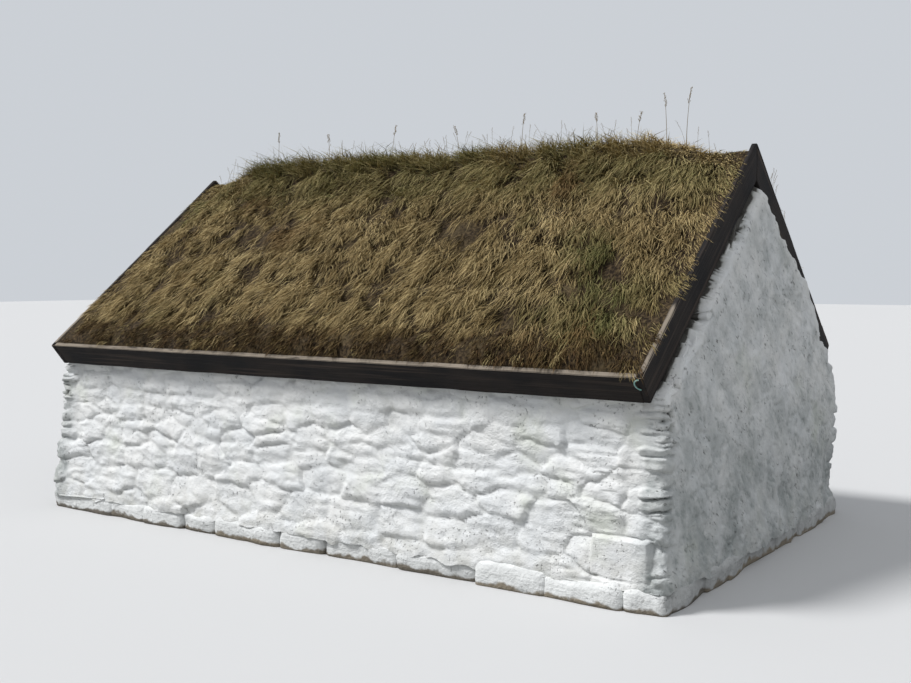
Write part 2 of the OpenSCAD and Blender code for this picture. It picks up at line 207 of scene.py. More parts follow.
class Value:
    """A value in a finish. Arithmetic on values adds Math nodes."""

    def __init__(self, tree, socket):
        self.tree = tree
        self.socket = socket

    def math(self, operation, *terms):
        """Adds a Math node for an operation on terms."""
        return self.tree.node("ShaderNodeMath", {"operation": operation}, dict(enumerate(terms)))

    def __add__(self, other):
        return self.math("ADD", self, other)

    def __sub__(self, other):
        return self.math("SUBTRACT", self, other)

    def __rsub__(self, other):
        return self.math("SUBTRACT", other, self)

    def __mul__(self, other):
        return self.math("MULTIPLY", self, other)

    __radd__ = __add__
    __rmul__ = __mul__

    def fade(self, low, high):
        """Smooth step from 0 at low to 1 at high."""
        reach = {"Value": self, "From Min": low, "From Max": high}
        return self.tree.node("ShaderNodeMapRange", {"interpolation_type": "SMOOTHSTEP"}, reach)


class Tree:
    """The nodes of a material or of the sky."""

    def __init__(self, holder):
        holder.use_nodes = True
        self.nodes = holder.node_tree.nodes
        self.links = holder.node_tree.links

    def node(self, kind, settings, sockets, output=0):
        """Adds a node: its settings first, then the values or links of its sockets."""
        made = self.nodes.new(kind)
        for setting, value in settings.items():
            setattr(made, setting, value)
        for socket, value in sockets.items():
            self.feed(made.inputs[socket], value)
        return Value(self, made.outputs[output])

    def feed(self, socket, value):
        """Links a value to a socket, or sets a number or a colour on it."""
        if isinstance(value, Value):
            self.links.new(value.socket, socket)
        elif isinstance(value, tuple) and len(socket.default_value) == 4:
            socket.default_value = (*value, 1)
        else:
            socket.default_value = value

    def seen(self):
        """1 for what the camera sees, straight or in a reflection or through glass, otherwise 0."""
        rays = [self.node("ShaderNodeLightPath", {}, {}, f"Is {kind} Ray")
                for kind in ("Camera", "Glossy", "Transmission")]
        return (rays[0] + rays[1] + rays[2]).fade(0, 1)


class Finish(Tree):
    """A material, with short ways to its nodes."""

    def __init__(self, name):
        self.material = bpy.data.materials.new(name)
        super().__init__(self.material)
        self.shader = self.nodes["Principled BSDF"]
        self.place = self.node("ShaderNodeTexCoord", {}, {}, "Object")

    def set(self, **sockets):
        """Feeds the shader's sockets, named with _ for a space."""
        for socket, value in sockets.items():
            self.feed(self.shader.inputs[socket.replace("_", " ")], value)

    def mark(self, name, output="Fac"):
        """A value stored on the piece's points."""
        return self.node("ShaderNodeAttribute", {"attribute_name": name}, {}, output)

    def noise(self, size, at=None, detail=2.0, harsh=0.5, shift=0.0):
        """Cloudy noise around 0.5, with lumps about size metres wide: one number, or one for each axis."""
        per_metre = tuple(1 / s for s in size) if isinstance(size, tuple) else (1 / size,) * 3
        scaled = {0: at or self.place, 1: per_metre}
        vector = self.node("ShaderNodeVectorMath", {"operation": "MULTIPLY"}, scaled)
        sockets = {"Vector": vector, "Scale": 1.0, "Detail": detail, "Roughness": harsh, "W": shift}
        return self.node("ShaderNodeTexNoise", {"noise_dimensions": "4D"}, sockets)

    def blend(self, share, first, second, kind="MIX"):
        """Mixes two colours."""
        sockets = {0: share, 6: first, 7: second}
        return self.node("ShaderNodeMix", {"data_type": "RGBA", "blend_type": kind}, sockets, 2)

    def tone(self, colour, value):
        """A colour made darker or lighter by a value."""
        grey = self.node("ShaderNodeCombineColor", {}, {"Red": value, "Green": value, "Blue": value})
        return self.blend(1.0, colour, grey, "MULTIPLY")

    def bump(self, height, distance, strength=1.0):
        """Roughens the surface by a height, as deep as a distance in metres."""
        sockets = {"Height": height, "Distance": distance, "Strength": strength}
        self.set(Normal=self.node("ShaderNodeBump", {}, sockets))

    def upward(self):
        """How far a face looks up, from -1 to 1."""
        normal = self.node("ShaderNodeNewGeometry", {}, {}, "Normal")
        return self.node("ShaderNodeSeparateXYZ", {}, {0: normal}, "Z")

    def height(self):
        """Height over the ground in metres."""
        return self.node("ShaderNodeSeparateXYZ", {}, {0: self.place}, "Z")


def limewash_finish():
    """Thick brushed limewash: off white, greyed in the joints, with faint algae, pits and brush strokes, and
    painted shade in open gaps.
    """
    look = Finish("limewash")
    greying_and_shade = look.mark("greying_and_shade")
    worn = look.mark("worn")
    height = look.height()
    brush_angle = {"Vector": look.place, "Angle": 0.7}
    brushed = look.node("ShaderNodeVectorRotate", {"rotation_type": "X_AXIS"}, brush_angle)

    cloud = look.noise(0.22, detail=3)
    strokes = look.noise((0.022, 0.040, 0.018), brushed, detail=3, shift=3.0)
    dabs = look.noise((0.060, 0.085, 0.045), brushed, detail=4, harsh=0.6, shift=6.0)
    blotch = look.noise((0.24, 0.28, 0.22), brushed, detail=7, harsh=0.68, shift=15.0)
    rough = look.noise(0.30, detail=2, shift=17.0).fade(0.38, 0.62)
    grit = look.noise(0.008, detail=3, shift=5.0)
    pits = look.noise((0.014, 0.034, 0.012), brushed, detail=2, shift=9.0).fade(0.62, 0.69)
    pits = pits * look.noise(0.16, detail=3, shift=8.0).fade(0.44, 0.60)
    algae = look.noise(0.35, detail=3, shift=12.0).fade(0.52, 0.7) * cloud.fade(0.35, 0.6)
    splash = height.fade(0.42, 0.06) * look.noise(0.09, shift=4.0).fade(0.35, 0.7)

    lime = look.blend(cloud.fade(0.3, 0.7), (0.77, 0.785, 0.79), (0.85, 0.85, 0.835))
    lime = look.blend(algae * 0.42, lime, (0.50, 0.545, 0.42))
    lime = look.blend(splash * 0.5, lime, (0.47, 0.46, 0.40))
    # Greys the joints, the bare flags and some stones; in the crease this greying is painted shade
    lime = look.blend(greying_and_shade * (0.20 + 0.5 * look.noise(0.07, shift=2.0)), lime, (0.33, 0.33, 0.29))
    # Painted shade: the gables darker towards the bottom
    low_shade = worn * height.fade(1.15, 0.15)
    grimy = worn * blotch.fade(0.57, 0.37)
    flecks = worn * dabs.fade(0.52, 0.34) * (0.25 + 0.75 * strokes.fade(0.58, 0.40))
    greyed = worn * 0.10 + grimy * 0.45 + flecks * 0.40 + low_shade * 0.34
    lime = look.blend(greyed, lime, (0.34, 0.365, 0.36))
    lime = look.blend(worn * blotch.fade(0.56, 0.70) * 0.6, lime, (0.88, 0.885, 0.89))
    lime = look.blend(pits * (0.45 + 0.4 * worn), lime, (0.17, 0.175, 0.16))
    # Painted shade: near black in the open slits, the block's seam and the gap under the bargeboards
    lime = look.blend(greying_and_shade.fade(1.05, 1.8) * 0.92, lime, (0.040, 0.036, 0.031))
    look.set(Base_Color=lime, Roughness=0.93)
    brush_marks = (dabs * 1.2 + strokes * 0.7) * (0.5 + 0.5 * rough)
    look.bump(brush_marks + blotch * 0.7 + grit * 0.35 - pits * 0.9, 0.010)
    return look.material


def footing_finish():
    """Bare grey-brown stone with limewash on its upper and outer faces."""
    look = Finish("footing stone")
    layers = look.noise((0.12, 0.12, 0.012), detail=3)
    grain = look.noise(0.02, detail=3, shift=4.0)
    dabs = look.noise(0.06, detail=4, harsh=0.6, shift=6.0)
    pits = look.noise(0.014, detail=2, shift=15.0).fade(0.62, 0.69)
    pits = pits * look.noise(0.16, shift=8.0).fade(0.44, 0.60)
    speckled = look.mark("worn") * (0.12 + 0.36 * look.noise(0.045, detail=5, harsh=0.7, shift=13.0))
    painted = look.height() * 13 + look.upward() * 0.3 + look.noise(0.09, detail=3, shift=9.0) * 1.7

    stone = look.blend(look.mark("tint"), (0.145, 0.13, 0.11), (0.30, 0.255, 0.19))
    stone = look.tone(stone, 0.55 + 0.9 * layers)
    lime = look.tone((0.81, 0.82, 0.81), 0.70 + 0.44 * dabs - speckled)
    lime = look.blend(pits * 0.5, lime, (0.17, 0.175, 0.16))
    look.set(Base_Color=look.blend(painted.fade(1.0, 1.28), stone, lime), Roughness=0.92)
    look.bump(layers * 0.4 + grain * 0.8 + dabs * 1.5 - pits * 0.6, 0.009, 0.9)
    return look.material


def worn_stone_finish():
    """Worn bare stone of the threshold."""
    look = Finish("worn stone")
    layers = look.noise((0.2, 0.2, 0.02), detail=4)
    worn = look.upward().fade(0.6, 0.95)
    stone = look.blend(look.noise(0.07, detail=3, shift=2.0), (0.16, 0.145, 0.125), (0.34, 0.31, 0.265))
    stone = look.tone(stone, 0.7 + 0.6 * layers)
    look.set(Base_Color=look.blend(worn * 0.35, stone, (0.36, 0.34, 0.30)), Roughness=0.85 - worn * 0.15)
    look.bump(layers + look.noise(0.01, shift=5.0) * 0.4, 0.004, 0.7)
    return look.material


def board_finish():
    """Dark stained boards: long grain, faded streaks, and grey worn wood along the upper edge."""
    look = Finish("dark stained board")
    grain = look.mark("grain", "Vector")
    fibre = look.noise((0.35, 0.004, 0.004), grain, detail=4, harsh=0.6)
    streak = look.noise((0.9, 0.022, 0.03), grain, detail=3, shift=3.0)
    patch = look.noise(0.25, grain, detail=2, shift=7.0)
    stain = look.blend(patch.fade(0.35, 0.65), (0.020, 0.019, 0.020), (0.034, 0.029, 0.027))
    stain = look.blend(streak.fade(0.50, 0.72) * 0.75, stain, (0.088, 0.068, 0.056))
    stain = look.tone(stain, 0.15 + 1.4 * fibre)
    near_eaves = look.height().fade(1.58, 1.38)
    bare = look.upward().fade(0.35, 0.7) * look.noise((0.12, 0.02, 0.02), grain, detail=3, shift=5.0)
    bare = (bare * (0.12 + near_eaves)).fade(0.26, 0.5)
    grey = look.tone((0.27, 0.230, 0.185), 0.30 + 1.3 * fibre)
    look.set(Base_Color=look.blend(bare, stain, grey), Roughness=0.70 + 0.25 * bare, Specular_IOR_Level=0.07)
    look.bump(fibre + streak * 0.5, 0.0022, 0.9)
    return look.material


def pine_finish():
    """Rough sawn softwood, darkened with age."""
    look = Finish("sawn softwood")
    grain = look.mark("grain", "Vector")
    rings = look.noise((0.5, 0.012, 0.012), grain, detail=3)
    saw = look.noise((0.003, 0.06, 0.06), grain, detail=1, shift=4.0)
    wood = look.blend(rings.fade(0.35, 0.65), (0.19, 0.125, 0.07), (0.36, 0.26, 0.16))
    look.set(Base_Color=look.tone(wood, 0.75 + 0.4 * saw), Roughness=0.85)
    look.bump(rings + saw * 0.4, 0.0015, 0.7)
    return look.material


def soil_finish():
    """Dark soil and roots under the grass."""
    look = Finish("soil and roots")
    crumbs = look.noise(0.018, detail=4)
    cloud = look.noise(0.2, shift=3.0)
    earth = look.blend(crumbs.fade(0.38, 0.7), (0.020, 0.014, 0.009), (0.10, 0.070, 0.038))
    earth = look.blend(cloud.fade(0.4, 0.7) * 0.4, earth, (0.12, 0.090, 0.045))
    look.set(Base_Color=earth, Roughness=0.97, Specular_IOR_Level=0.15)
    look.bump(crumbs, 0.012)
    return look.material


def grass_finish():
    """Blades from green and olive to straw, darkened towards the root as painted shade, and pale at the tip.
    """
    look = Finish("dry grass")
    light = look.mark("light")
    green = look.blend(light, (0.084, 0.090, 0.026), (0.245, 0.248, 0.090))
    straw = look.blend(light, (0.205, 0.136, 0.050), (0.71, 0.555, 0.280))
    brown = look.blend(light, (0.042, 0.024, 0.010), (0.25, 0.130, 0.048))
    blade = look.blend(look.mark("dead"), look.blend(look.mark("dry"), green, straw), brown)
    # Painted shade: blades darkened towards the root
    root = look.tone(blade, 0.18 + 0.12 * light)
    blade = look.blend(look.mark("tip").fade(0.0, 0.85), root, look.tone(blade, 0.95))
    look.set(Base_Color=blade, Roughness=0.80, Specular_IOR_Level=0.15)
    return look.material


def iron_finish():
    """Dull black iron with a little rust."""
    look = Finish("dull iron")
    rust = look.noise(0.03, detail=4).fade(0.55, 0.75)
    look.set(Base_Color=look.blend(rust * 0.6, (0.018, 0.018, 0.020), (0.10, 0.042, 0.018)))
    look.set(Roughness=0.5 + 0.35 * rust, Metallic=0.75 - 0.6 * rust)
    look.bump(look.noise(0.006, detail=3, shift=2.0), 0.0008)
    return look.material


def teal_finish():
    """Dull plastic coat on the small hook, scuffed paler in places."""
    look = Finish("teal coated rod")
    scuff = look.noise(0.012, detail=3)
    look.set(Base_Color=look.blend(scuff.fade(0.45, 0.7), (0.20, 0.40, 0.36), (0.40, 0.60, 0.56)))
    look.set(Roughness=0.42)
    look.bump(scuff, 0.0006)
    return look.material


limewash = limewash_finish()
footing_stone = footing_finish()
worn_stone = worn_stone_finish()
dark_board = board_finish()
pine = pine_finish()
soil = soil_finish()
dry_grass = grass_finish()
iron = iron_finish()
teal = teal_finish()


# Walls

# A place on the walls is its height z and its distance s round the house, which is 0 in the middle of
# the plain gable and negative towards the near side. A quarter of the round is half the lintel's width,
# the stretch on to the rounded corner, the turn round it, a stub and half the inner length of the long
# wall, with the gable and the corner measured at the height measured_z.
corner_r = 0.055
measured_z = 0.6
outer_half = side_face(measured_z) - corner_r - lintel_y
quarter_turn = corner_r * math.pi / 2
stub = gable_face(measured_z) - corner_r - inner_x
corner_s = lintel_y + outer_half
side_s = corner_s + quarter_turn
long_s = side_s + stub
half_round = 2 * (long_s + inner_x)


def round_house(s):
    """The same place as s, counted at most half a round from the middle of the plain gable."""
    return (s + half_round) % (2 * half_round) - half_round


def stretches(s):
    """Shares of the stretches of half a round that lie before a place, from the plain gable on."""
    to_long_wall = [lintel_y, outer_half, quarter_turn, stub]
    lengths = [*to_long_wall, 2 * inner_x, *to_long_wall[::-1]]
    starts = np.cumsum([0] + lengths[:-1])
    along = np.abs(round_house(s))
    return [np.clip((along - start) / length, 0, 1) for start, length in zip(starts, lengths)]


def plain_face(s, z):
    """Place and outward direction on the walls before any relief."""
    over, out, turn, stub_1, long, stub_2, turn_2, out_2, over_2 = stretches(s)
    angle = (turn + turn_2) * math.pi / 2
    run_x = gable_face(z) - corner_r
    run_y = side_face(z) - corner_r - lintel_y
    x = run_x * (1 - stub_1 - stub_2) + inner_x * (stub_1 + stub_2 - 2 * long)
    y = lintel_y * (over - over_2) + run_y * (out - out_2)
    x, y = x + corner_r * np.cos(angle), y + corner_r * np.sin(angle)
    side = np.sign(round_house(s))
    return vectors(x, y * side, z), vectors(np.cos(angle), np.sin(angle) * side)


def wall_top(s, depth):
    """Height at which the wall reaches a depth in the roof."""
    over, out, turn, _, _, _, turn_2, out_2, over_2 = stretches(s)
    share, angle = out - out_2, (turn + turn_2) * math.pi / 2
    run = side_foot + batter * footing_top - corner_r - lintel_y
    y = lintel_y * (over - over_2) + run * share + corner_r * np.sin(angle)
    return (apex_z - depth / math.cos(pitch) - math.tan(pitch) * y) / (1 - math.tan(pitch) * batter * share)


# Height up to which the stones are large, and how much lower than wide a stone's reach is
large_stones_top = 0.45
flatness = 2.1


def lay_courses():
    """Middles of the stones in rough courses round the house, large below and flatter above."""
    rng = np.random.default_rng(11)
    middles, z = [], 0.04
    while z < apex_z:
        large = z < large_stones_top
        tall = rng.uniform(0.12, 0.21) if large else rng.uniform(0.06, 0.13)
        s = -half_round + rng.uniform(0, 0.2)
        while s < half_round - 0.1:
            wide = rng.uniform(0.18, 0.5) if large else rng.uniform(0.14, 0.42)
            middles.append((s + wide / 2, z + tall * rng.uniform(0.3, 0.7)))
            s += wide
        z += tall
    return middles


def stone_finder(middles):
    """A tree that finds the nearest stones, also past the line where the round of the house closes."""
    tree = KDTree(3 * len(middles))
    for lap in (-1, 0, 1):
        for number, (s, z) in enumerate(middles):
            tree.insert((s + 2 * half_round * lap, z * flatness, 0), number)
    tree.balance()
    return tree


stone_middles = lay_courses()
stone_luck = np.random.default_rng(12).uniform(-1, 1, (len(stone_middles), 3))
stone_tree = stone_finder(stone_middles)


def stone_at(s, z, place):
    """Number of the stone at each place, the distance to its joint, and the offset from its middle."""
    number, joint, offset = np.empty(len(s), int), np.empty(len(s)), np.empty((len(s), 2))
    s = s + 0.042 * soft_noise(place, 0.13, 41) + 0.016 * soft_noise(place, 0.05, 42)
    z = z + 0.018 * soft_noise(place, (0.16, 0.16, 0.10), 43) + 0.008 * soft_noise(place, 0.045, 44)
    for i, (a, b) in enumerate(zip(s.tolist(), (z * flatness).tolist())):
        (nearest, number[i], d_1), (next_one, _, d_2) = stone_tree.find_n((a, b, 0), 2)
        joint[i] = (d_2 * d_2 - d_1 * d_1) / (2 * (nearest - next_one).length + 1e-9)
        offset[i] = a - nearest[0], b - nearest[1]
    return number, joint, offset


def joint_relief(s, z, place, past_corner):
    """Stones under the limewash: how far they stand out, and how grey their joints are, 0 to 1."""
    low_on_gable = fade(z, 0.4, 0.15) * fade(past_corner, 0.0, -0.1)
    crisp = 0.05 + 0.95 * fade(past_corner, -0.10, 0.03) + 0.2 * low_on_gable
    number, joint, offset = stone_at(s, z, place)
    luck = stone_luck[number]
    soft = fade(soft_noise(place, 0.30, 22), -0.5, 0.4)
    width = 0.012 + 0.008 * luck[:, 0] + 0.030 * soft + 0.05 * (1 - crisp)
    on_stone = fade(joint + 0.007 * soft_noise(place, 0.03, 21), -0.002, width)
    upright = fade(np.abs(offset[:, 0]) / (0.02 + np.abs(offset[:, 1])), 0.8, 2.2)
    filled = fade(soft_noise(place, 0.20, 10) + 0.5 * fade(z, 0.6, 0.9) + 0.35 * upright, -0.45, 0.30)
    on_stone = on_stone + (1 - on_stone) * 0.94 * filled
    out = 0.011 * on_stone + 0.008 * fade(joint, 0.0, 0.075) - 0.014
    tilt = 0.05 * luck[:, 1] * offset[:, 0] + 0.06 * luck[:, 2] * offset[:, 1]
    out += on_stone * (0.010 * luck[:, 0] + tilt)
    ledges = soft_noise(place + 0.01 * soft_noise(place, 0.1, 8)[:, None], (0.13, 0.13, 0.022), 9)
    out += 0.0045 * fade(ledges, -0.25, 0.25)
    return out * crisp, 0.5 * (1 - on_stone) * crisp


def lime_relief(z, place, on_gable):
    """Lumps, brush marks and pocks of the thick limewash, and its spread towards the foot."""
    slanted = place + place[:, 2:] * (0.5, 0.5, 0)
    rough = fade(soft_noise(place, 0.33, 14), -0.45, 0.45)
    dabs = 0.0038 * soft_noise(slanted, (0.085, 0.085, 0.07), 3)
    dabs += 0.0030 * soft_noise(slanted, (0.042, 0.042, 0.034), 4)
    out = 0.012 * soft_noise(place, 0.7, 1) + 0.006 * soft_noise(place, 0.21, 2)
    out += dabs * (1.15 - 0.40 * on_gable + 0.75 * on_gable * rough)
    out += on_gable * 0.0055 * soft_noise(slanted, (0.17, 0.17, 0.14), 15)
    out += on_gable * 0.004 * rough * soft_noise(slanted, 0.06, 16)
    out += (0.0018 + 0.0012 * rough) * soft_noise(slanted, 0.026, 5)
    out -= (0.005 + 0.004 * on_gable) * fade(soft_noise(slanted, (0.05, 0.05, 0.045), 6), 0.55, 0.8)
    return out + (0.022 - 0.004 * on_gable) * fade(z, 0.34, footing_top)


# Swellings of the walls: s, z, half width along the wall, half height, how far they stand out
swellings = [
    (corner_s - 0.05, 0.72, 0.30, 0.15, 0.014),
    (corner_s + 0.02, 0.22, 0.30, 0.20, -0.055),
    (-corner_s - 0.04, 0.30, 0.12, 0.30, -0.020),
    (0.62, 0.30, 0.34, 0.26, -0.012),
    (0.35, 0.75, 0.8, 0.45, 0.012),
    (-long_s - 1.1, 0.45, 0.7, 0.4, 0.022),
    (-long_s - 2.6, 0.55, 0.6, 0.35, 0.018),
    (long_s + 1.3, 0.5, 0.8, 0.4, 0.025),
    (half_round - 0.95, 0.7, 0.45, 0.5, 0.02),
    (-half_round + 0.9, 0.6, 0.45, 0.35, 0.022),
]

# Thin flags at the corners: where they start and end, and where they get thinner
flags_foot, flags_top, thin_flags_foot = 0.445, 1.0, 0.70


def lay_flags():
    """Heights of the joints between the flags, closer together higher up."""
    rng = np.random.default_rng(61)
    joints = [flags_foot]
    while joints[-1] < flags_top:
        thick = rng.choice([rng.uniform(0.026, 0.044), rng.uniform(0.055, 0.085)])
        joints.append(joints[-1] + thick * (1 if joints[-1] < thin_flags_foot else 0.7))
    return np.array(joints)


flag_joints = lay_flags()
flags_per_corner = 16
flag_luck = np.random.default_rng(62).uniform(-1, 1, (4 * flags_per_corner, 4))


def flag_relief(past_corner, z, place):
    """Flags half under the limewash: how far they stand out, how open the slits between them are, and
    how bare they lie."""
    upper = fade(z, thin_flags_foot, thin_flags_foot + 0.10)
    bent = z + 0.016 * soft_noise(place, (0.16, 0.16, 0.12), 61)
    bent += (0.006 + 0.011 * upper) * soft_noise(place, (0.06, 0.06, 0.04), 62)
    number = np.clip(np.searchsorted(flag_joints, bent) - 1, 0, len(flag_joints) - 2)
    share = (bent - flag_joints[number]) / (flag_joints[number + 1] - flag_joints[number])
    corner = (place[:, 0] < 0) + 2 * (place[:, 1] > 0)
    luck = flag_luck[number + flags_per_corner * corner]
    reach = 0.16 + 0.08 * luck[:, 0] + 0.030 * soft_noise(place, 0.05, 63)
    near = fade(past_corner, reach, reach - 0.06)
    lens = fade((1 - np.abs(2 * share - 1) ** 2.2) * (0.2 + 0.8 * near), 0.08, 0.62)
    crumpled = soft_noise(place, (0.045, 0.045, 0.020), 65)
    openness = luck[:, 1] + 0.9 * soft_noise(place, (0.07, 0.07, 0.03), 64)
    slit = (1 - lens) * near * fade(openness, 0.05, 0.7 + 0.3 * upper)
    slit = np.maximum(slit, 0.85 * upper * near * fade(-crumpled, 0.30, 0.65))
    rise = lens * (0.016 + 0.010 * luck[:, 2] + 0.006 * crumpled) + 0.009 * upper * crumpled
    bare = near * lens * fade(luck[:, 3], -0.6, 0.4) * (1 - 0.6 * upper)
    return near * rise - 0.018 * slit, slit, bare


def with_flags(out, greying_and_shade, z, place, past_corner):
    """Adds ragged corners, and flags at all of them but the far one of the plain gable."""
    smooth_corner = (place[:, 0] > 0) & (place[:, 1] > 0)
    ragged = 0.6 * soft_noise(place, 0.035, 66) + 0.4 * soft_noise(place, 0.016, 69)
    out = out + (0.011 - 0.008 * smooth_corner) * ragged * fade(np.abs(past_corner - 0.05), 0.10, 0.03)
    flags = fade(past_corner, -0.045, 0.0) * fade(past_corner, 0.30, 0.22) * ~smooth_corner
    flags *= fade(z, flags_foot - 0.015, flags_foot + 0.025) * fade(z, flags_top + 0.01, flags_top - 0.02)
    laid = flags > 0
    share = flags[laid]
    rise, slit, bare = flag_relief(past_corner[laid], z[laid], place[laid])
    out[laid] += share * (rise - 0.016 - 0.6 * out[laid])
    # Bare flags greyed, and the open slits between them near black as painted shade
    greying_and_shade[laid] += share * (np.maximum(0.2 + 0.7 * bare, 1.9 * slit) - greying_and_shade[laid])
    return out, greying_and_shade


# The big squarish block low in the near corner: its ends from the corner, and its foot and top
block_start, block_end = 0.115, 0.43
block_foot, block_top = 0.140, 0.345


def with_block(out, greying_and_shade, s, z, place, past_corner):
    """Adds the flat face of the near corner's block, the seam round it and the lumps beside it."""
    near = (s < 0) & (place[:, 0] > 0) & (z < 0.46) & (past_corner > -0.02) & (past_corner < 0.6)
    place, z, along = place[near], z[near], past_corner[near]
    edge = np.min([along - block_start, block_end - along, z - block_foot, block_top - z], axis=0)
    edge += 0.008 * soft_noise(place, 0.07, 67) + 0.003 * soft_noise(place, 0.025, 68)
    on_block = fade(edge, -0.004, 0.018)
    rim = fade(np.abs(edge - 0.002), 0.012, 0.0)
    lumps = 0.011 * soft_noise(place, 0.045, 70) * fade(along, 0.20, 0.10)
    flat = 0.016 + 0.0015 * soft_noise(place, 0.012, 71) + 0.003 * soft_noise(place, 0.06, 72)
    out[near] = (out[near] + lumps) * (1 - on_block) + on_block * flat - 0.009 * rim
    # Painted shade: the seam round the block darkened near black
    seam = rim * fade(soft_noise(place, (0.09, 0.09, 0.05), 73), -0.3, 0.5)
    greying_and_shade[near] = np.maximum(greying_and_shade[near] * (1 - on_block), 1.1 * seam)
    return out, greying_and_shade


# The slanting crease low in the plain gable: a place on it, and how far it leans as it rises
crease_s, crease_z, crease_lean = 0.20, 0.25, 0.45


def with_crease(out, greying_and_shade, s, z, place):
    """Adds the slanting crease low in the plain gable, darkened as painted shade."""
    off_line = s - crease_s - crease_lean * (z - crease_z) - 0.02 * soft_noise(place, 0.1, 74)
    crease = fade(np.abs(off_line), 0.022, 0.0) * fade(z, 0.62, 0.40)
    return out - 0.012 * crease, np.maximum(greying_and_shade, 0.9 * crease)


def with_doorway(out, greying_and_shade, from_door, z, place):
    """Draws the wall in beside the doorway and sets the flat lintel over it."""
    out = out - 0.012 * fade(from_door, door_y + 0.03, door_y) * fade(z, lintel_low.z + 0.02, lintel_low.z)
    inside = np.min([lintel_y - from_door, z - lintel_low.z, lintel_high.z - z], axis=0)
    on_lintel = fade(inside, -0.006, 0.012)
    flat = 0.010 + 0.003 * soft_noise(place, 0.06, 7)
    out = out + on_lintel * (flat - out) - 0.010 * fade(np.abs(inside), 0.01, 0.0)
    return out, greying_and_shade * (1 - on_lintel)


def relief(s, z, place):
    """How far the limewashed face stands out of the plain one, and how grey it is: up to 1 in a joint,
    and more where it is open, as painted shade."""
    along = np.abs(round_house(s))
    past_corner = np.minimum(along - corner_s, half_round - corner_s - along)
    out, greying_and_shade = joint_relief(s, z, place, past_corner)
    out += lime_relief(z, place, fade(past_corner, 0.05, -0.05))
    for middle_s, middle_z, wide, tall, rise in swellings:
        out += rise * np.exp(-(round_house(s - middle_s) / wide) ** 2 - ((z - middle_z) / tall) ** 2)
    out, greying_and_shade = with_flags(out, greying_and_shade, z, place, past_corner)
    out, greying_and_shade = with_block(out, greying_and_shade, s, z, place, past_corner)
    out, greying_and_shade = with_crease(out, greying_and_shade, s, z, place)
    under_eaves = fade(z, 0.93, 1.0) * fade(past_corner, -0.02, 0.02)
    out += under_eaves * (np.clip(out, -0.012, 0.008) - out)
    return with_doorway(out, greying_and_shade, half_round - along, z, place)


# Upper edges of the gables

# The limewash ends edge_gap below the boards and turns in behind them, and between tuck_foot and tuck_top,
# under the apex, the whole wall goes in there. On the far side of the plain gable the limewash laps on to
# the face of the board instead, by lap_heights at lap_places.
edge_gap = 0.006
behind_boards = board_back - 0.004
before_boards = board_face + 0.001
tuck_foot, tuck_top = apex_z - 0.262, apex_z - 0.212
least_lap = 0.004
lap_places = [0.45, 0.60, 0.70, 0.85, 0.97, 1.05, 1.08]
lap_heights = [0, 0.012, 0.031, 0.051, 0.047, 0.019, 0]


def board_lap(s):
    """How far the limewash laps over the boards' lower edges."""
    s = round_house(s)
    flat = vectors(s.ravel())
    ragged = 0.018 * soft_noise(flat, 0.11, 35) + 0.012 * soft_noise(flat, 0.04, 36)
    known = np.interp(s, lap_places, lap_heights)
    return np.where(known > 0, np.maximum(known + ragged.reshape(s.shape) * fade(known, 0, 0.03), 0), 0)


def tuck_under_boards(points, lap=0):
    """Rounds the walls' upper edges off and draws them in behind the bargeboards or on to their faces."""
    lapped = lap > least_lap
    near_apex = fade(points[:, 2], tuck_foot, tuck_top)
    notch = fade(soft_noise(points, 0.10, 33) + 0.4 * soft_noise(points, 0.04, 34), 0.15, 0.55)
    rounding = 0.040 + 0.030 * soft_noise(points, 0.1, 31) + 0.026 * soft_noise(points, 0.04, 32)
    rounding = np.maximum(rounding + 0.05 * near_apex + 0.012 * notch, 0.015)
    rounding = np.where(lapped, 0.022, rounding)
    gap = 0.014 + 0.014 * soft_noise(points, 0.07, 39) + 0.020 * notch
    below = roof_depth(points) - board_depth + np.where(lapped, lap - 0.006, -gap * (1 - near_apex))
    share = 1 - fade(below, 0.0, rounding) ** np.where(lapped, 0.6, 1.0)
    behind = np.where(lapped, before_boards, behind_boards - 0.030 * notch)
    proud = np.maximum(np.abs(points[:, 0]) - behind, 0)
    points[:, 0] -= np.sign(points[:, 0]) * proud * np.maximum(share, near_apex)
    return points


def under_board_shade(points):
    """Mark of painted shade for the dark gap that runs along under the bargeboards."""
    shallow = board_face + 0.020 + 0.012 * soft_noise(points, 0.05, 40)
    deep = fade(np.abs(points[:, 0]), shallow, board_face - 0.002)
    corner_y = side_face(points[:, 2])
    deep = deep * fade(np.abs(points[:, 1]), corner_y - 0.02, corner_y - 0.06)
    return 2 * deep * fade(roof_depth(points), board_depth + 0.11, board_depth + 0.06)


def wall_skin(s, z, gable=False):
    """Points of the outer face for columns at s and rows at heights z, and their marks of greying and painted
    shade. A gable's last three rows fold back over the bargeboard's lower edge and run up behind it."""
    s = np.broadcast_to(s, z.shape)
    place, outward = plain_face(s.ravel(), z.ravel())
    out, greying_and_shade = relief(s.ravel(), z.ravel(), place)
    points = place + outward * out[:, None]
    if not gable:
        return tuck_under_boards(points), greying_and_shade
    lap = board_lap(s)
    points = tuck_under_boards(points, lap.ravel())
    # Painted shade in the gap under the bargeboards
    greying_and_shade = np.maximum(greying_and_shade, under_board_shade(points))
    folded_x = points.reshape(*z.shape, 3)[-3:, :, 0]
    end = np.sign(folded_x)
    turned_in = end[0] * np.where(lap[-3] > least_lap, before_boards, behind_boards)
    folded_x[0] = np.where(np.abs(folded_x[0]) > behind_boards, turned_in, folded_x[0])
    folded_x[1:] = end[1:] * np.minimum(np.abs(folded_x[1:]), behind_boards)
    return points, greying_and_shade


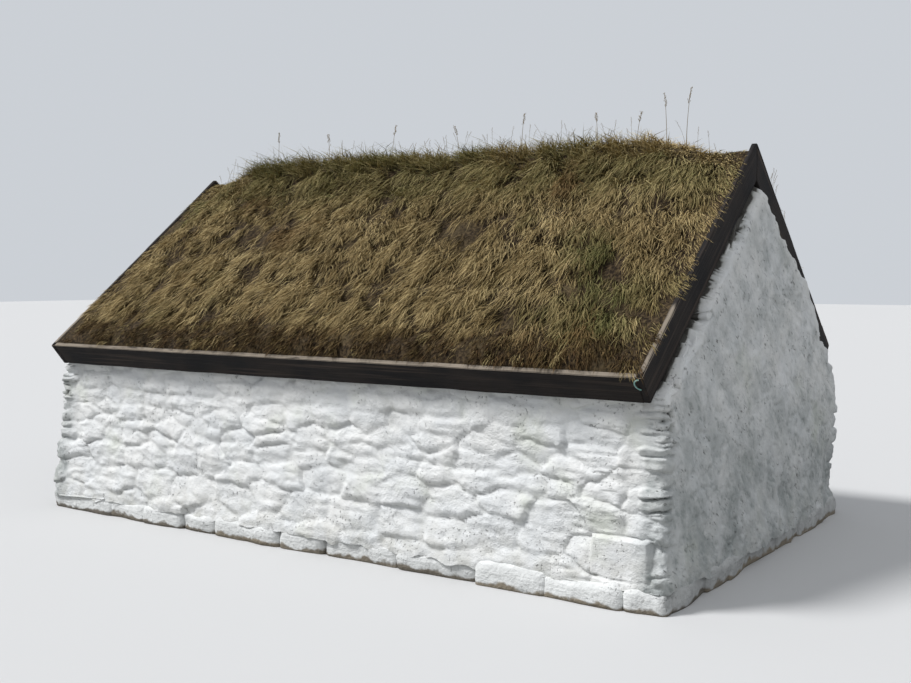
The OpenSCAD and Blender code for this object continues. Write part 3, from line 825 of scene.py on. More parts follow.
def spread(*stops):
    """Columns between stops, each but the last given with the spacing that follows it."""
    runs = [np.array([stops[0][0]])]
    for (start, step), (end, _) in zip(stops, stops[1:]):
        runs.append(np.linspace(start, end, max(2, round(abs(end - start) / step) + 1))[1:])
    return np.concatenate(runs)


def outline_of(quads):
    """The closed loop of points round a patch of faces."""
    edges = [edge for quad in quads.tolist() for edge in zip(quad, quad[1:] + quad[:1])]
    known = set(edges)
    follow = {a: b for a, b in edges if (b, a) not in known}
    loop = [next(iter(follow))]
    while follow[loop[-1]] != loop[0]:
        loop.append(follow[loop[-1]])
    return np.array(loop)


def wall_piece(name, node, skin, wanted, back_x):
    """A wall from the wanted part of a gable skin, closed straight back to a plane."""
    points, greying_and_shade = skin
    rows, columns = wanted.shape
    quads = grid_quads(rows + 1, columns + 1)[wanted.ravel()]
    loop = outline_of(quads)
    back = points[loop]
    back[:, 0] = back_x
    back[:, 2] = np.maximum(back[:, 2], footing_top)
    caps = edge_quads(loop, len(points))
    points = np.concatenate([points, back])
    worn = fade(np.abs(points[:, 0]), board_back - 0.06, board_face)
    # Painted highlight: less weathering on the shoulders under the bargeboards, so that they stay whiter
    # where they face the light
    worn = worn * (0.15 + 0.85 * fade(roof_depth(points) - board_depth, 0.03, 0.12))
    marks = {"greying_and_shade": np.concatenate([greying_and_shade, np.zeros(len(back))]), "worn": worn}
    tidy_mesh(make_piece(name, points, [quads], limewash, [node],
                         [caps, caps[None, :, 1]], marks))


def ragged_foot(s):
    """Height to which the limewash runs down over the footing."""
    along = vectors(s)
    runs = 0.014 + 0.018 * fade(soft_noise(along, 0.13, 37), -0.3, 0.6) + 0.008 * soft_noise(along, 0.035, 38)
    return footing_top - runs


def gable_rows(s, *parts):
    """Row heights up a gable, in parts given as top and number of rows, and the rows of its folded edge."""
    rows, foot = [ragged_foot(s)], np.full_like(s, footing_top)
    for top, count in parts:
        rows += [foot + (top - foot) * share for share in np.linspace(0, 1, count + 1)[1:]]
        foot = top
    rows += [wall_top(s, depth) for depth in (board_depth + 0.004, board_depth + 0.003, sarking_depth)]
    return np.array(rows)


def build_plain_gable():
    """The gable without a doorway, with the finest relief near the corner that the camera is at."""
    finest_end, rows = -0.75, 176
    s = spread((-long_s, 0.009), (-side_s, 0.008), (-corner_s, 0.009), (finest_end, 0.0125),
               (corner_s, 0.009), (side_s, 0.012), (long_s, None))
    heights = gable_rows(s, (wall_top(s, board_depth + edge_gap - board_lap(s)), rows))
    wanted = np.ones((len(heights) - 1, len(s) - 1), bool)
    wall_piece("plain_gable", "gable_wall", wall_skin(s, heights, True), wanted, inner_x)


def build_door_gable():
    """The gable with the doorway: two piers, the lintel and the wall over it."""
    middle = -half_round
    reaches = [long_s, side_s, corner_s, lintel_y, door_y]
    stops = [middle - reach for reach in reaches] + [middle + reach for reach in reaches[::-1]]
    s = spread(*zip(stops, [0.013, 0.009, 0.014, 0.013, 0.013, 0.013, 0.014, 0.009, 0.013, None]))
    top = wall_top(s, board_depth + edge_gap)
    rise_beside = wall_top(np.array([middle + lintel_y]), board_depth + edge_gap)[0] - footing_top
    over = np.abs(s - middle) < lintel_y + 1e-6
    sill, head = [np.where(over, z, footing_top + (top - footing_top) * ((z - footing_top) / rise_beside))
                  for z in (lintel_low.z, lintel_high.z)]
    sill_row, head_row, rows_over = 100, 110, 28
    heights = gable_rows(s, (sill, sill_row), (head, head_row - sill_row), (top, rows_over))
    skin = wall_skin(s, heights, True)
    row = np.arange(len(heights) - 1)[:, None]
    at = (s[:-1] + s[1:]) / 2 - middle
    lintel = (np.abs(at) < lintel_y) & (row >= sill_row) & (row < head_row)
    over_door = (np.abs(at) < lintel_y) & (row >= head_row)
    doorway = (np.abs(at) < door_y) & (row < sill_row)
    pier = ~(lintel | over_door | doorway)
    wall_piece("near_pier", "near_door_pier", skin, pier & (at > 0), -inner_x)
    wall_piece("far_pier", "far_door_pier", skin, pier & (at < 0), -inner_x)
    wall_piece("lintel", "door_lintel", skin, lintel, -inner_x)
    wall_piece("wall_over_door", "over_door_wall", skin, over_door, -inner_x)


def build_long_wall(name, node, side, spacing, row_count):
    """A long wall: battered face, bench for the plate, and a plain inner face."""
    x = np.linspace(inner_x, -inner_x, round(2 * inner_x / spacing) + 1)
    columns = len(x)
    s = side * (long_s + inner_x - x)
    rise = wall_top(s, sarking_depth) - footing_top
    heights = np.concatenate([[ragged_foot(s)], footing_top + rise * np.linspace(0, 1, row_count)[:, None]])
    points, greying_and_shade = wall_skin(s, heights)
    inside = [(upstand_y, roof_z(upstand_y, sarking_depth)), (upstand_y, bench_z), (inner_y, bench_z),
              (inner_y, footing_top)]
    points = np.concatenate([points, *(vectors(x, side * y, z) for y, z in inside)])
    greying_and_shade = np.concatenate([greying_and_shade, np.zeros(len(inside) * columns)])
    rows = len(heights) + len(inside)
    front, plain = np.split(grid_quads(rows, columns), [row_count * (columns - 1)])
    index = np.arange(rows * columns).reshape(rows, columns)
    under = np.stack([index[-1, :-1], index[-1, 1:], index[0, 1:], index[0, :-1]], -1)
    tidy_mesh(make_piece(name, points, [front], limewash, [node],
                         [plain, under, index[None, :, 0], index[None, :, -1]], {"greying_and_shade": greying_and_shade}))


# Stones laid in the open: footing, threshold and the stones under the bargeboards

def cube_shell(cells):
    """Points and faces of a cube's skin, 2 units wide, closer together near its edges."""
    line = np.sin(np.linspace(-1, 1, cells + 1) * math.pi / 2)
    u, v = np.meshgrid(line, line, indexing="ij")
    points, faces = [], []
    for axis in range(3):
        for sign in (-1, 1):
            side = np.stack([np.full_like(u, sign), u * sign, v], -1).reshape(-1, 3)
            faces.append(grid_quads(cells + 1, cells + 1) + len(points) * len(side))
            points.append(np.roll(side, axis, axis=1))
    unique, number = np.unique(np.round(np.concatenate(points), 6), axis=0, return_inverse=True)
    return unique, number.reshape(-1)[np.concatenate(faces)]


def turned_stone(turn_x, turn_z):
    """The turn about x and then about z, as a matrix."""
    cos_x, sin_x, cos_z, sin_z = math.cos(turn_x), math.sin(turn_x), math.cos(turn_z), math.sin(turn_z)
    about_x = np.array([[1, 0, 0], [0, cos_x, -sin_x], [0, sin_x, cos_x]])
    about_z = np.array([[cos_z, -sin_z, 0], [sin_z, cos_z, 0], [0, 0, 1]])
    return about_z @ about_x


def lay_stones(blocks, seed, cells, lumpy=1.0):
    """Rounded, split and weathered stones, with a random tint for each. A block is a middle, half sizes,
    turns about x and z, and a corner radius."""
    shell, faces = cube_shell(cells)
    rng = np.random.default_rng(seed)
    points, tint = [], []
    for middle, half, turn_x, turn_z, corner_radius in blocks:
        half = np.array(half)
        small = half.min()
        corner = min(corner_radius, 0.8 * small)
        skew = rng.uniform(-0.12, 0.12, (3, 3))
        inner = np.clip(shell * half, corner - half, half - corner)
        away = unit(shell * half - inner)
        body = inner + corner * away
        own_place = body + rng.uniform(0, 50, 3)
        level_place = own_place * (1, 1, 0)
        bulge = 0.28 * soft_noise(own_place, 1.1 * half.max(), seed)
        bulge += 0.16 * soft_noise(own_place, 1.6 * small, seed + 1)
        body = body * (1 + (shell @ skew) * 0.5) + away * (bulge * lumpy * small)[:, None]
        body[:, 2] *= 1 + 0.22 * lumpy * soft_noise(level_place, 0.09, seed + 4)
        body[:, 2] += 0.004 * lumpy * soft_noise(level_place, 0.11, seed + 5)
        layers = 0.0025 * soft_noise(own_place, (0.10, 0.10, 0.009), seed + 2)
        body[:, :2] += away[:, :2] * layers[:, None]
        body += away * (0.0016 * soft_noise(own_place, 0.014, seed + 3))[:, None]
        points.append(body @ turned_stone(turn_x, turn_z).T + middle)
        tint.append(rng.uniform())
    all_faces = [faces + number * len(shell) for number in range(len(blocks))]
    return np.concatenate(points), np.concatenate(all_faces), np.repeat(tint, len(shell))


def stone_run(start, end, rng, shortest, longest):
    """Lengths of stones side by side, as pairs of ends."""
    ends = [start]
    while end - ends[-1] > longest:
        ends.append(ends[-1] + rng.uniform(shortest, longest))
    if end - ends[-1] < shortest * 0.6:
        ends[-1] = (ends[-2] + end) / 2
    return list(zip(ends, ends[1:] + [end]))


# Footing: the depth of its stones from front to back, how far they reach into the ground before they are
# cut off there, how far its plain filling stays from the outer faces and below the top, and how far the
# stones and the filling under a long wall end before the ends of the house
stone_depth, sunk = 0.22, 0.012
filling_in, filling_top = 0.12, footing_top - 0.004
long_stones_x, long_filling_x = footing_x - 0.016, footing_x - 0.1


def course_stone(rng, ends, face, talls, outs, turn, lap, corner):
    """Middle, half sizes, turn about z and corner radius of a stone in a course along x. Its height and
    how far it stands out from the course's face lie between the values of talls and outs."""
    tall = footing_top * rng.uniform(*talls)
    out = face + outs[0] + (outs[1] - outs[0]) * rng.random()
    middle = np.array([(ends[0] + ends[1]) / 2, out - stone_depth / 2, tall / 2 - sunk])
    half = np.array([(ends[1] - ends[0]) / 2 + lap, stone_depth / 2, tall / 2 + sunk])
    return middle, half, rng.uniform(-turn, turn), corner


def gable_stone(rng, end, side, ends, lap):
    """A block for a stone in the course under a gable, which runs along y."""
    middle, half, turn, corner = course_stone(rng, ends, footing_x, (0.98, 1.06), (-0.004, 0.006), 0.02,
                                              lap, 0.018)
    return middle[[1, 0, 2]] * (end, side, 1), half[[1, 0, 2]], 0, turn, corner


def build_footing(name, node, blocks, fillings, seed, cells=9):
    """A course of large stones round fillings, each given by two corners, standing flat on the ground."""
    points, faces, tint = lay_stones(blocks, seed, cells)
    points[:, 2] = np.maximum(points[:, 2], 0.0)
    flat = []
    for corners in fillings:
        core = list(itertools.product(*zip(*np.sort(corners, axis=0))))
        flat.append(box_faces + len(points))
        points = np.concatenate([points, core])
        tint = np.concatenate([tint, np.full(len(core), 0.5)])
    marks = {"tint": tint, "worn": fade(np.abs(points[:, 0]), footing_x - 0.06, footing_x - 0.015)}
    make_piece(name, points, [faces], footing_stone, [node], [np.concatenate(flat)], marks)


def build_footings():
    """The four courses: under the long walls, and under the gables between them."""
    rng = np.random.default_rng(51)
    for name, node, side in (("near_footing_stones", "near_footing", -1),
                             ("far_footing_stones", "far_footing", 1)):
        blocks = []
        for ends in stone_run(-long_stones_x, long_stones_x, rng, 0.24, 0.62):
            middle, half, turn, corner = course_stone(rng, ends, footing_y, (0.92, 1.12), (0.0, -0.026),
                                                      0.04, 0.004, 0.038)
            blocks.append((middle * (1, side, 1), half, 0, turn, corner))
        filling = [(-long_filling_x, side * inner_y, 0.0),
                   (long_filling_x, side * (footing_y - filling_in), filling_top)]
        build_footing(name, node, blocks, [filling], 52 + side, 12)

    run = stone_run(-footing_y + filling_in, footing_y - filling_in, rng, 0.26, 0.56)
    blocks = [gable_stone(rng, 1, 1, ends, 0.010) for ends in run]
    filling = [(inner_x, -inner_y, 0.0), (footing_x - filling_in, inner_y, filling_top)]
    build_footing("gable_footing_stones", "gable_footing", blocks, [filling], 54)
    blocks, fillings = [], []
    for side in (-1, 1):
        run = stone_run(door_y, footing_y - filling_in, rng, 0.26, 0.5)
        blocks += [gable_stone(rng, -1, side, ends, 0.003) for ends in run]
        fillings.append([(-footing_x + filling_in, side * door_y, 0.0),
                         (-inner_x, side * inner_y, filling_top)])
    build_footing("door_footing_stones", "door_gable_footing", blocks, fillings, 55)


def build_threshold():
    """Threshold: one long stone worn down into a dip in the middle."""
    low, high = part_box("threshold_stone")
    block = (tuple((low + high) / 2), tuple((high - low) / 2), 0, 0, 0.02)
    points, faces, _ = lay_stones([block], 61, 26)
    points[:, 1] = np.clip(points[:, 1], -door_y, door_y)
    trodden_half, trodden_from, trodden_full = 0.17, -1.75, -1.95
    trodden = np.exp(-(points[:, 1] / trodden_half) ** 2) * fade(points[:, 0], trodden_from, trodden_full)
    worn_off = 0.012 * trodden * fade(points[:, 2], 0.08, high.z)
    points[:, 2] = np.clip(points[:, 2] - worn_off, 0, high.z)
    make_piece("worn_threshold", points, [faces], worn_stone, ["threshold_stone"])


def build_skew_stones():
    """Rough flat stones on the shoulders of the gables, under the bargeboards' lower edges."""
    rng = np.random.default_rng(81)
    half_depth = 0.045
    blocks = []
    for end, side, layer in itertools.product((-1, 1), (-1, 1), (0, 1)):
        down = slope_length * (0.20 + 0.12 * layer)
        while down < slope_length - 0.13:
            length = rng.uniform(0.07, 0.20)
            low_down = fade(down, slope_length * 0.22, slope_length * 0.62)
            thick = rng.uniform(0.026, 0.052)
            depth = board_depth + 0.012 + 0.036 * layer + thick / 2 + rng.uniform(0.0, 0.026)
            y, z = over_slope(down + length / 2, -depth)
            outer = gable_face(z) + rng.uniform(-0.032, -0.004) * low_down - 0.050 * (1 - low_down)
            under_lap = end > 0 and side > 0 and layer == 0 and 0.5 < y < 1.1
            if not under_lap and rng.uniform() < 0.8:
                middle = (end * (outer - half_depth), side * y, z)
                half = (half_depth, length / 2 - 0.002, thick / 2)
                tilt = -side * pitch + rng.uniform(-0.30, 0.30)
                blocks.append((middle, half, tilt, rng.uniform(-0.20, 0.20), 0.008))
            down += length
    points, faces, tint = lay_stones(blocks, 82, 7, 1.2)
    # Painted highlight: little weathering keeps the skew stones white; painted shade in the gap under the
    # bargeboards
    marks = {"greying_and_shade": np.maximum(tint * 0.2, under_board_shade(points)), "worn": np.full(len(points), 0.1)}
    make_piece("skew_stones", points, [faces], limewash, marks=marks)


# Timber

x_axis, y_axis, z_axis = Vector((1, 0, 0)), Vector((0, 1, 0)), Vector((0, 0, 1))
down_slope = {"near": Vector((0, -math.cos(pitch), -math.sin(pitch))),
              "far": Vector((0, math.cos(pitch), -math.sin(pitch)))}


def carried_over(node):
    """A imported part's mesh, welded and with its flat faces whole."""
    work = bmesh.new()
    work.from_mesh(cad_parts[node].data)
    work.transform(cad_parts[node].matrix_world)
    bmesh.ops.remove_doubles(work, verts=work.verts, dist=1e-5)
    bmesh.ops.dissolve_limit(work, angle_limit=math.radians(1), verts=work.verts, edges=work.edges)
    return work


def sawn_boards(middles, half_sizes, axes):
    """Sawn boards of one size from their middles and from half sizes along three axes."""
    work = bmesh.new()
    for middle in middles:
        verts = []
        for signs in itertools.product((-1, 1), repeat=3):
            offsets = [axis * half * sign for axis, half, sign in zip(axes, half_sizes, signs)]
            verts.append(work.verts.new(middle + sum(offsets, Vector())))
        for face in box_faces:
            work.faces.new([verts[i] for i in face])
    bmesh.ops.recalc_face_normals(work, faces=work.faces)
    return work


def separate_parts(work):
    """Number of the separate part that each vertex belongs to."""
    work.verts.index_update()
    ends = np.array([[vert.index for vert in edge.verts] for edge in work.edges])
    lowest, before = np.arange(len(work.verts)), None
    while not np.array_equal(lowest, before):
        before = lowest.copy()
        np.minimum.at(lowest, ends, lowest[ends].min(axis=1, keepdims=True))
        lowest = lowest[lowest]
    return np.unique(lowest, return_inverse=True)[1]


def finished_mesh(work, name):
    """The mesh that has been worked on."""
    mesh = bpy.data.meshes.new(name)
    work.to_mesh(mesh)
    work.free()
    return mesh


def timber(name, node, along, finish, slot, work=None, edge=0.002, wander=0.0015, step=0.06):
    """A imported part, or the work on one, as timber: eases its edges, cuts it across at every step, lets it
    wander a little and stores its grain, which is another one in each separate board."""
    work = work or carried_over(node)
    bmesh.ops.bevel(work, geom=work.edges[:], offset=edge, segments=2, affect="EDGES", clamp_overlap=True)
    reach = [vert.co.dot(along) for vert in work.verts]
    for at in np.arange(min(reach) + step * 0.7, max(reach) - step * 0.3, step):
        geometry = work.verts[:] + work.edges[:] + work.faces[:]
        bmesh.ops.bisect_plane(work, geom=geometry, plane_co=along * float(at), plane_no=along)
    points = np.array([vert.co for vert in work.verts])
    axis = np.array(along)
    across = np.cross(axis, (0, 0, 1) if abs(axis[2]) < 0.7 else (1, 0, 0))
    across /= np.linalg.norm(across)
    square = np.cross(axis, across)
    grain = vectors(points @ axis, points @ across, points @ square)
    grain += separate_parts(work)[:, None] * (3.7, 1.31, 2.17)
    for number, direction in enumerate((across, square)):
        points += direction * (wander * soft_noise(grain, (0.22, 0.3, 0.3), 90 + number))[:, None]
        points += direction * (wander * 0.4 * soft_noise(grain, (0.05, 0.02, 0.02), 92 + number))[:, None]
    mesh = finished_mesh(work, name)
    mesh.vertices.foreach_set("co", points.astype(np.float32).ravel())
    layer = mesh.attributes.new("grain", "FLOAT_VECTOR", "POINT")
    layer.data.foreach_set("vector", grain.astype(np.float32).ravel())
    place_piece(name, mesh, finish, [node])


def build_roof_boards(side):
    """The roof boards of one slope, laid along the house with narrow gaps."""
    count, gap, off_ridge, off_eaves = 13, 0.003, 0.022, 0.001
    down = down_slope[side]
    square = down.cross(x_axis)
    square = square if square.z > 0 else -square
    start, end = soil_depth * math.tan(pitch) + off_ridge, slope_length - board_t - off_eaves
    width = (end - start) / count
    rng = np.random.default_rng(95)
    middles = []
    for number in range(count):
        off_apex = down * (start + width * (number + 0.5)) - square * (soil_depth + sarking_t / 2)
        middles.append(Vector((0, 0, apex_z)) + off_apex + x_axis * float(rng.uniform(-0.001, 0.001)))
    half_sizes = (board_back - 0.003, (width - gap) / 2, sarking_t / 2)
    work = sawn_boards(middles, half_sizes, (x_axis, down, square))
    timber(f"{side}_roof_boards", f"{side}_sarking", x_axis, pine, "roof_timber", work, 0.0015, 0.0012, 0.16)


def build_timbers():
    """Bargeboards, eaves boards, roof timbers, and the door with its frame."""
    board_look = {"finish": dark_board, "slot": "dark_board", "edge": 0.003, "wander": 0.0022}
    for side, down in down_slope.items():
        for end in ("gable", "door"):
            timber(f"{end}_{side}_board", f"{end}_{side}_bargeboard", down, step=0.04, **board_look)
        timber(f"{side}_eaves", f"{side}_eaves_board", x_axis, step=0.05, **board_look)
        timber(f"{side}_plate", f"{side}_wall_plate", x_axis, pine, "roof_timber")
        timber(f"{side}_rafter_set", f"{side}_rafters", down, pine, "roof_timber")
        build_roof_boards(side)
    timber("collars", "collar_ties", y_axis, pine, "roof_timber")
    timber("ridge_beam", "ridge_board", x_axis, pine, "roof_timber")
    for name, node, along in (("door_frame_posts", "door_posts", z_axis),
                              ("door_frame_top", "door_frame_head", y_axis),
                              ("door_boards", "door_planks", z_axis),
                              ("door_cross_bars", "door_ledges", y_axis)):
        timber(name, node, along, dark_board, "door_timber")


def smooth_copy(name, node, finish):
    """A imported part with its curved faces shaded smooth."""
    work = carried_over(node)
    for face in work.faces:
        face.smooth = True
    for edge in work.edges:
        edge.smooth = edge.calc_face_angle(0) < math.radians(32)
    place_piece(name, finished_mesh(work, name), finish, [node])


def nail_places():
    """Places and radii of the nails over the ledges, and of the rivets along the straps."""
    planks_low, planks_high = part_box("door_planks")
    ledge_low, ledge_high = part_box("door_ledges")
    strap_start, strap_end = -0.262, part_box("door_hinges")[1].y
    planks, half_ledge, nail_off = 5, 0.0475, 0.026
    plank_width = (planks_high.y - planks_low.y) / planks
    foot_ledge, head_ledge = ledge_low.z + half_ledge, ledge_high.z - half_ledge
    middle_ledge = (ledge_low.z + ledge_high.z) / 2
    spots = []
    for z, number in itertools.product((foot_ledge, middle_ledge, head_ledge), range(planks)):
        y = planks_low.y + plank_width * (number + 0.5)
        up = nail_off if z == middle_ledge or number == planks - 1 else nail_off * 1.25
        spots += [(planks_low.x, y - nail_off, z - up, 0.006), (planks_low.x, y + nail_off, z + up, 0.006)]
    for z, share in itertools.product((foot_ledge, head_ledge), (0.12, 0.36, 0.6, 0.88)):
        spots.append((planks_low.x - 0.005, strap_start + (strap_end - strap_start) * share, z, 0.0075))
    return spots


def build_nail_heads():
    """Domed nail heads and rivets on the outside of the door."""
    sides = 12
    rises, widths = np.array([[0.0], [0.224], [0.4]]), np.array([[1.0], [0.9], [0.55]])
    turns = np.linspace(0, 2 * math.pi, sides, endpoint=False)
    dome = vectors(-rises, widths * np.cos(turns), widths * np.sin(turns)).reshape(-1, 3)
    spots = nail_places()
    points = np.concatenate([dome * radius + (x, y, z) for x, y, z, radius in spots])
    first = np.arange(len(spots))[:, None] * len(dome)
    quads = (first[:, None] + tube_quads(len(rises), sides)).reshape(-1, 4)
    caps = np.concatenate([first + np.arange(len(dome) - sides, len(dome)), first + np.arange(sides)[::-1]])
    tidy_mesh(make_piece("nail_heads", points, [quads, caps], iron))


# Turf and grass

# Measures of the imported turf, whose swells, folds, crest and verges the upper side of the mats follows
verge_run, verge_drop, ridge_half, shoulder = 0.62, 0.012, 0.220, 0.26
ridge_rise, eaves_rise, swell_rise, swell_step = 0.110, 0.050, 0.060, 0.155
crest_lift, verge_dip, crest_rounding, crest_flat = 0.025, 0.045, 0.04, 0.012
near_end = slope_length - board_t
swell_reach = slope_length - shoulder


def swell(number):
    """Height of a swell of the turf: high and low in turn, none quite like the next."""
    return swell_rise * ((0.35 if number % 2 == 0 else -0.35) + 0.15 * math.sin(math.radians(77 * number)))


def slope_profile():
    """The swells down a slope, from the ridge to the eaves board, as places and heights."""
    count = math.floor((swell_reach - ridge_half / math.cos(pitch)) / swell_step)
    places = [(ridge_half, roof_z(ridge_half, -ridge_rise))]
    for number in range(count, 0, -1):
        down = swell_reach - number * swell_step
        even_rise = ridge_rise - (ridge_rise - eaves_rise) * down / swell_reach
        places.append(over_slope(down, even_rise + swell(number)))
    for share, rise in ((1, eaves_rise), (0.5, eaves_rise * 0.72), (0.25, eaves_rise * 0.3)):
        places.append(over_slope(slope_length - shoulder * share, rise))
    return zip(*places, over_slope(near_end, -0.008))


profile_y, profile_z = slope_profile()
turf_end_y = profile_y[-1]
crest_z = roof_z(ridge_half, -ridge_rise) + ridge_half * math.tan(pitch) / 2 + crest_lift
crest_dip = apex_z - verge_dip
fold_top, fold_foot = over_slope(0, ridge_rise), over_slope(swell_reach, eaves_rise)
fold_slope = (fold_foot[1] - fold_top[1]) / (fold_foot[0] - fold_top[0])
folds = range(-math.floor(board_back / swell_step), math.floor(board_back / swell_step) + 1)


def verge_share(x):
    """0 at the verges, rising to 1 further in."""
    return fade(board_back - np.abs(x), 0, verge_run)


def crest_height(number):
    """Height of the crest over a fold, lower towards the verges."""
    full = crest_z + swell(abs(number) + (1 if number < 0 else 0)) / 2
    return crest_dip + (full - crest_dip) * verge_share(number * swell_step)


fold_x = [-board_back, *(number * swell_step for number in folds), board_back]
fold_rise = [0, *(swell(abs(number) * 3 + (2 if number < 0 else 0)) for number in folds), 0]
crest_line = [crest_dip, *map(crest_height, folds), crest_dip]


def turf_top(x, y):
    """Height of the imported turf, which the matted grass follows."""
    across = np.abs(y)
    along = fold_top[1] + (across - fold_top[0]) * fold_slope
    along = along + np.interp(x, fold_x, fold_rise) * math.hypot(1, fold_slope)
    slope = np.minimum(np.interp(across, profile_y, profile_z), along)
    crest = crest_z - (crest_z - profile_z[0]) * (y / ridge_half) ** 2
    crest = np.minimum(crest, np.interp(x, fold_x, crest_line))
    inner_rise = ridge_rise + swell_rise / 2
    rise = (inner_rise + verge_drop) * verge_share(x) - verge_drop
    limit = roof_z(np.sqrt(y * y + crest_rounding ** 2) - crest_flat, -rise)
    return np.minimum(np.where(across < ridge_half, crest, slope), limit)


def soil_top(x, y):
    """Height of the soil under the grass."""
    flat = vectors(x, y)
    inside = fade(board_back - np.abs(x), 0.0, 0.30) * fade(turf_end_y - np.abs(y), 0.0, 0.24)
    lumps = 0.015 * soft_noise(flat, 0.42, 101) + 0.012 * soft_noise(flat, 0.15, 102) - 0.048
    return turf_top(x, y) + inside * lumps + 0.004 * soft_noise(flat, 0.05, 103)


def build_mat(name, node, y):
    """A closed mat of soil and roots between lines along the house at y."""
    x = np.linspace(-board_back, board_back, 180)
    grid_x, grid_y = [grid.ravel() for grid in np.meshgrid(x, y)]
    points = vectors(grid_x, grid_y, soil_top(grid_x, grid_y))
    index = np.arange(len(points)).reshape(len(y), len(x))
    loop = np.concatenate([index[0, :-1], index[:-1, -1], index[-1, :0:-1], index[:0:-1, 0]])
    under = points[loop]
    end_y = over_slope(near_end, -soil_depth)[0]
    under[:, 1] = np.clip(under[:, 1], -end_y, end_y)
    under[:, 2] = roof_z(under[:, 1], soil_depth)
    sides = edge_quads(loop, len(points))
    bottom = sides[:, 1]
    bottoms = [bottom[None, :]]
    if y[0] < 0 < y[-1]:
        # The underside of the ridge mat bends at the apex, so it is two faces
        apex_row = index[np.searchsorted(y, 0)]
        first, second = np.flatnonzero(np.isin(loop, apex_row[[0, -1]]))
        bottoms = [bottom[None, first:second + 1], np.append(bottom[second:], bottom[:first + 1])[None, :]]
    tidy_mesh(make_piece(name, np.concatenate([points, under]), [grid_quads(len(y), len(x))], soil,
                         [node], [sides, *bottoms]))


def lie_of_blades(rng, x, side, swirl, stand):
    """Directions in which blades rise and in which they are combed: down the slope and out over the
    verges, and the more they stand, the more upright and the more any way round."""
    lean = 1 - stand
    up = unit(vectors(0.0, side * math.sin(pitch) * lean, 1 - (1 - math.cos(pitch)) * lean))
    comb = vectors(0.0, side * math.cos(pitch), -math.sin(pitch)) * np.cos(swirl)[:, None]
    comb[:, 0] += np.sin(swirl) + np.sign(x) * 0.9 * fade(np.abs(x), board_back - 0.13, board_back)
    comb = unit(comb)
    if stand:
        turn = rng.uniform(0, 2 * math.pi, len(x))
        comb = comb * lean + vectors(np.cos(turn), np.sin(turn)) * stand
    return up, comb


def grass(name, tufts, each, seed, stand=0.0):
    """Tufts of bent blades. Tufts are arrays of x, y, length, puff, dry, light and dead, each is the
    number of blades in one, and stand makes them stand up instead of being combed down the slope."""
    rng = np.random.default_rng(seed)
    x, y, length, puff, dry, light, dead = [np.repeat(t, each) for t in tufts]
    count, tuft_count = len(x), len(tufts[0])
    side = np.where(y < 0, -1.0, 1.0)
    flat = vectors(x, y)
    swirl = 0.30 * soft_noise(flat, 0.55, 111) + 0.20 * soft_noise(flat, 0.17, 112)
    swirl += np.repeat(rng.normal(0, 0.16, tuft_count), each) + rng.normal(0, 0.22 + 0.6 * stand, count)

    reach = np.repeat(rng.uniform(0.012, 0.030, tuft_count), each)
    limit_x, limit_y = board_back - 0.004, turf_end_y - 0.012
    x = np.clip(x + rng.normal(0, 1, count) * reach, -limit_x, limit_x)
    y = np.clip(y + rng.normal(0, 1, count) * reach, -limit_y, limit_y)
    root = vectors(x, y, soil_top(x, y) - 0.008)
    up, comb = lie_of_blades(rng, x, side, swirl, stand)

    rise = np.clip(puff + rng.normal(0, 0.16, count), 0.12, 1.0)[:, None]
    long = length * (rng.uniform(0.55, 1.12, count) + 0.9 * stand * rng.uniform(0, 1, count) ** 6)
    long = long[:, None]
    lift = rise * 0.55 - 0.22 + rng.normal(0, 0.10, count)[:, None] + 0.35 * stand
    bend = root + (up * rise + comb * np.sqrt(1 - rise * rise * 0.96)) * long * 0.5
    tip = bend + (up * lift + comb * np.sqrt(np.maximum(1 - lift * lift, 0.1))) * long * 0.55

    twist = rng.normal(0, 0.7, count)[:, None]
    wide = unit(np.cross(comb, up)) * np.cos(twist) + up * np.sin(twist)
    wide = wide * rng.uniform(0.0014, 0.0030, count)[:, None]
    points = np.stack([root - wide, root + wide, bend + wide * 0.8, bend - wide * 0.8, tip], 1)
    corners = points.shape[1]
    base = np.arange(count)[:, None] * corners
    marks = {"tip": np.tile([0.0, 0.0, 0.55, 0.55, 1.0], count)}
    for mark, values, vary in (("dry", dry, 0.14), ("light", light, 0.18), ("dead", dead, 0.1)):
        marks[mark] = np.repeat(np.clip(values + rng.normal(0, vary, count), 0, 1), corners)
    make_piece(name, points.reshape(-1, 3), [base + (0, 1, 2, 3), base + (3, 2, 4)], dry_grass,
               marks=marks)


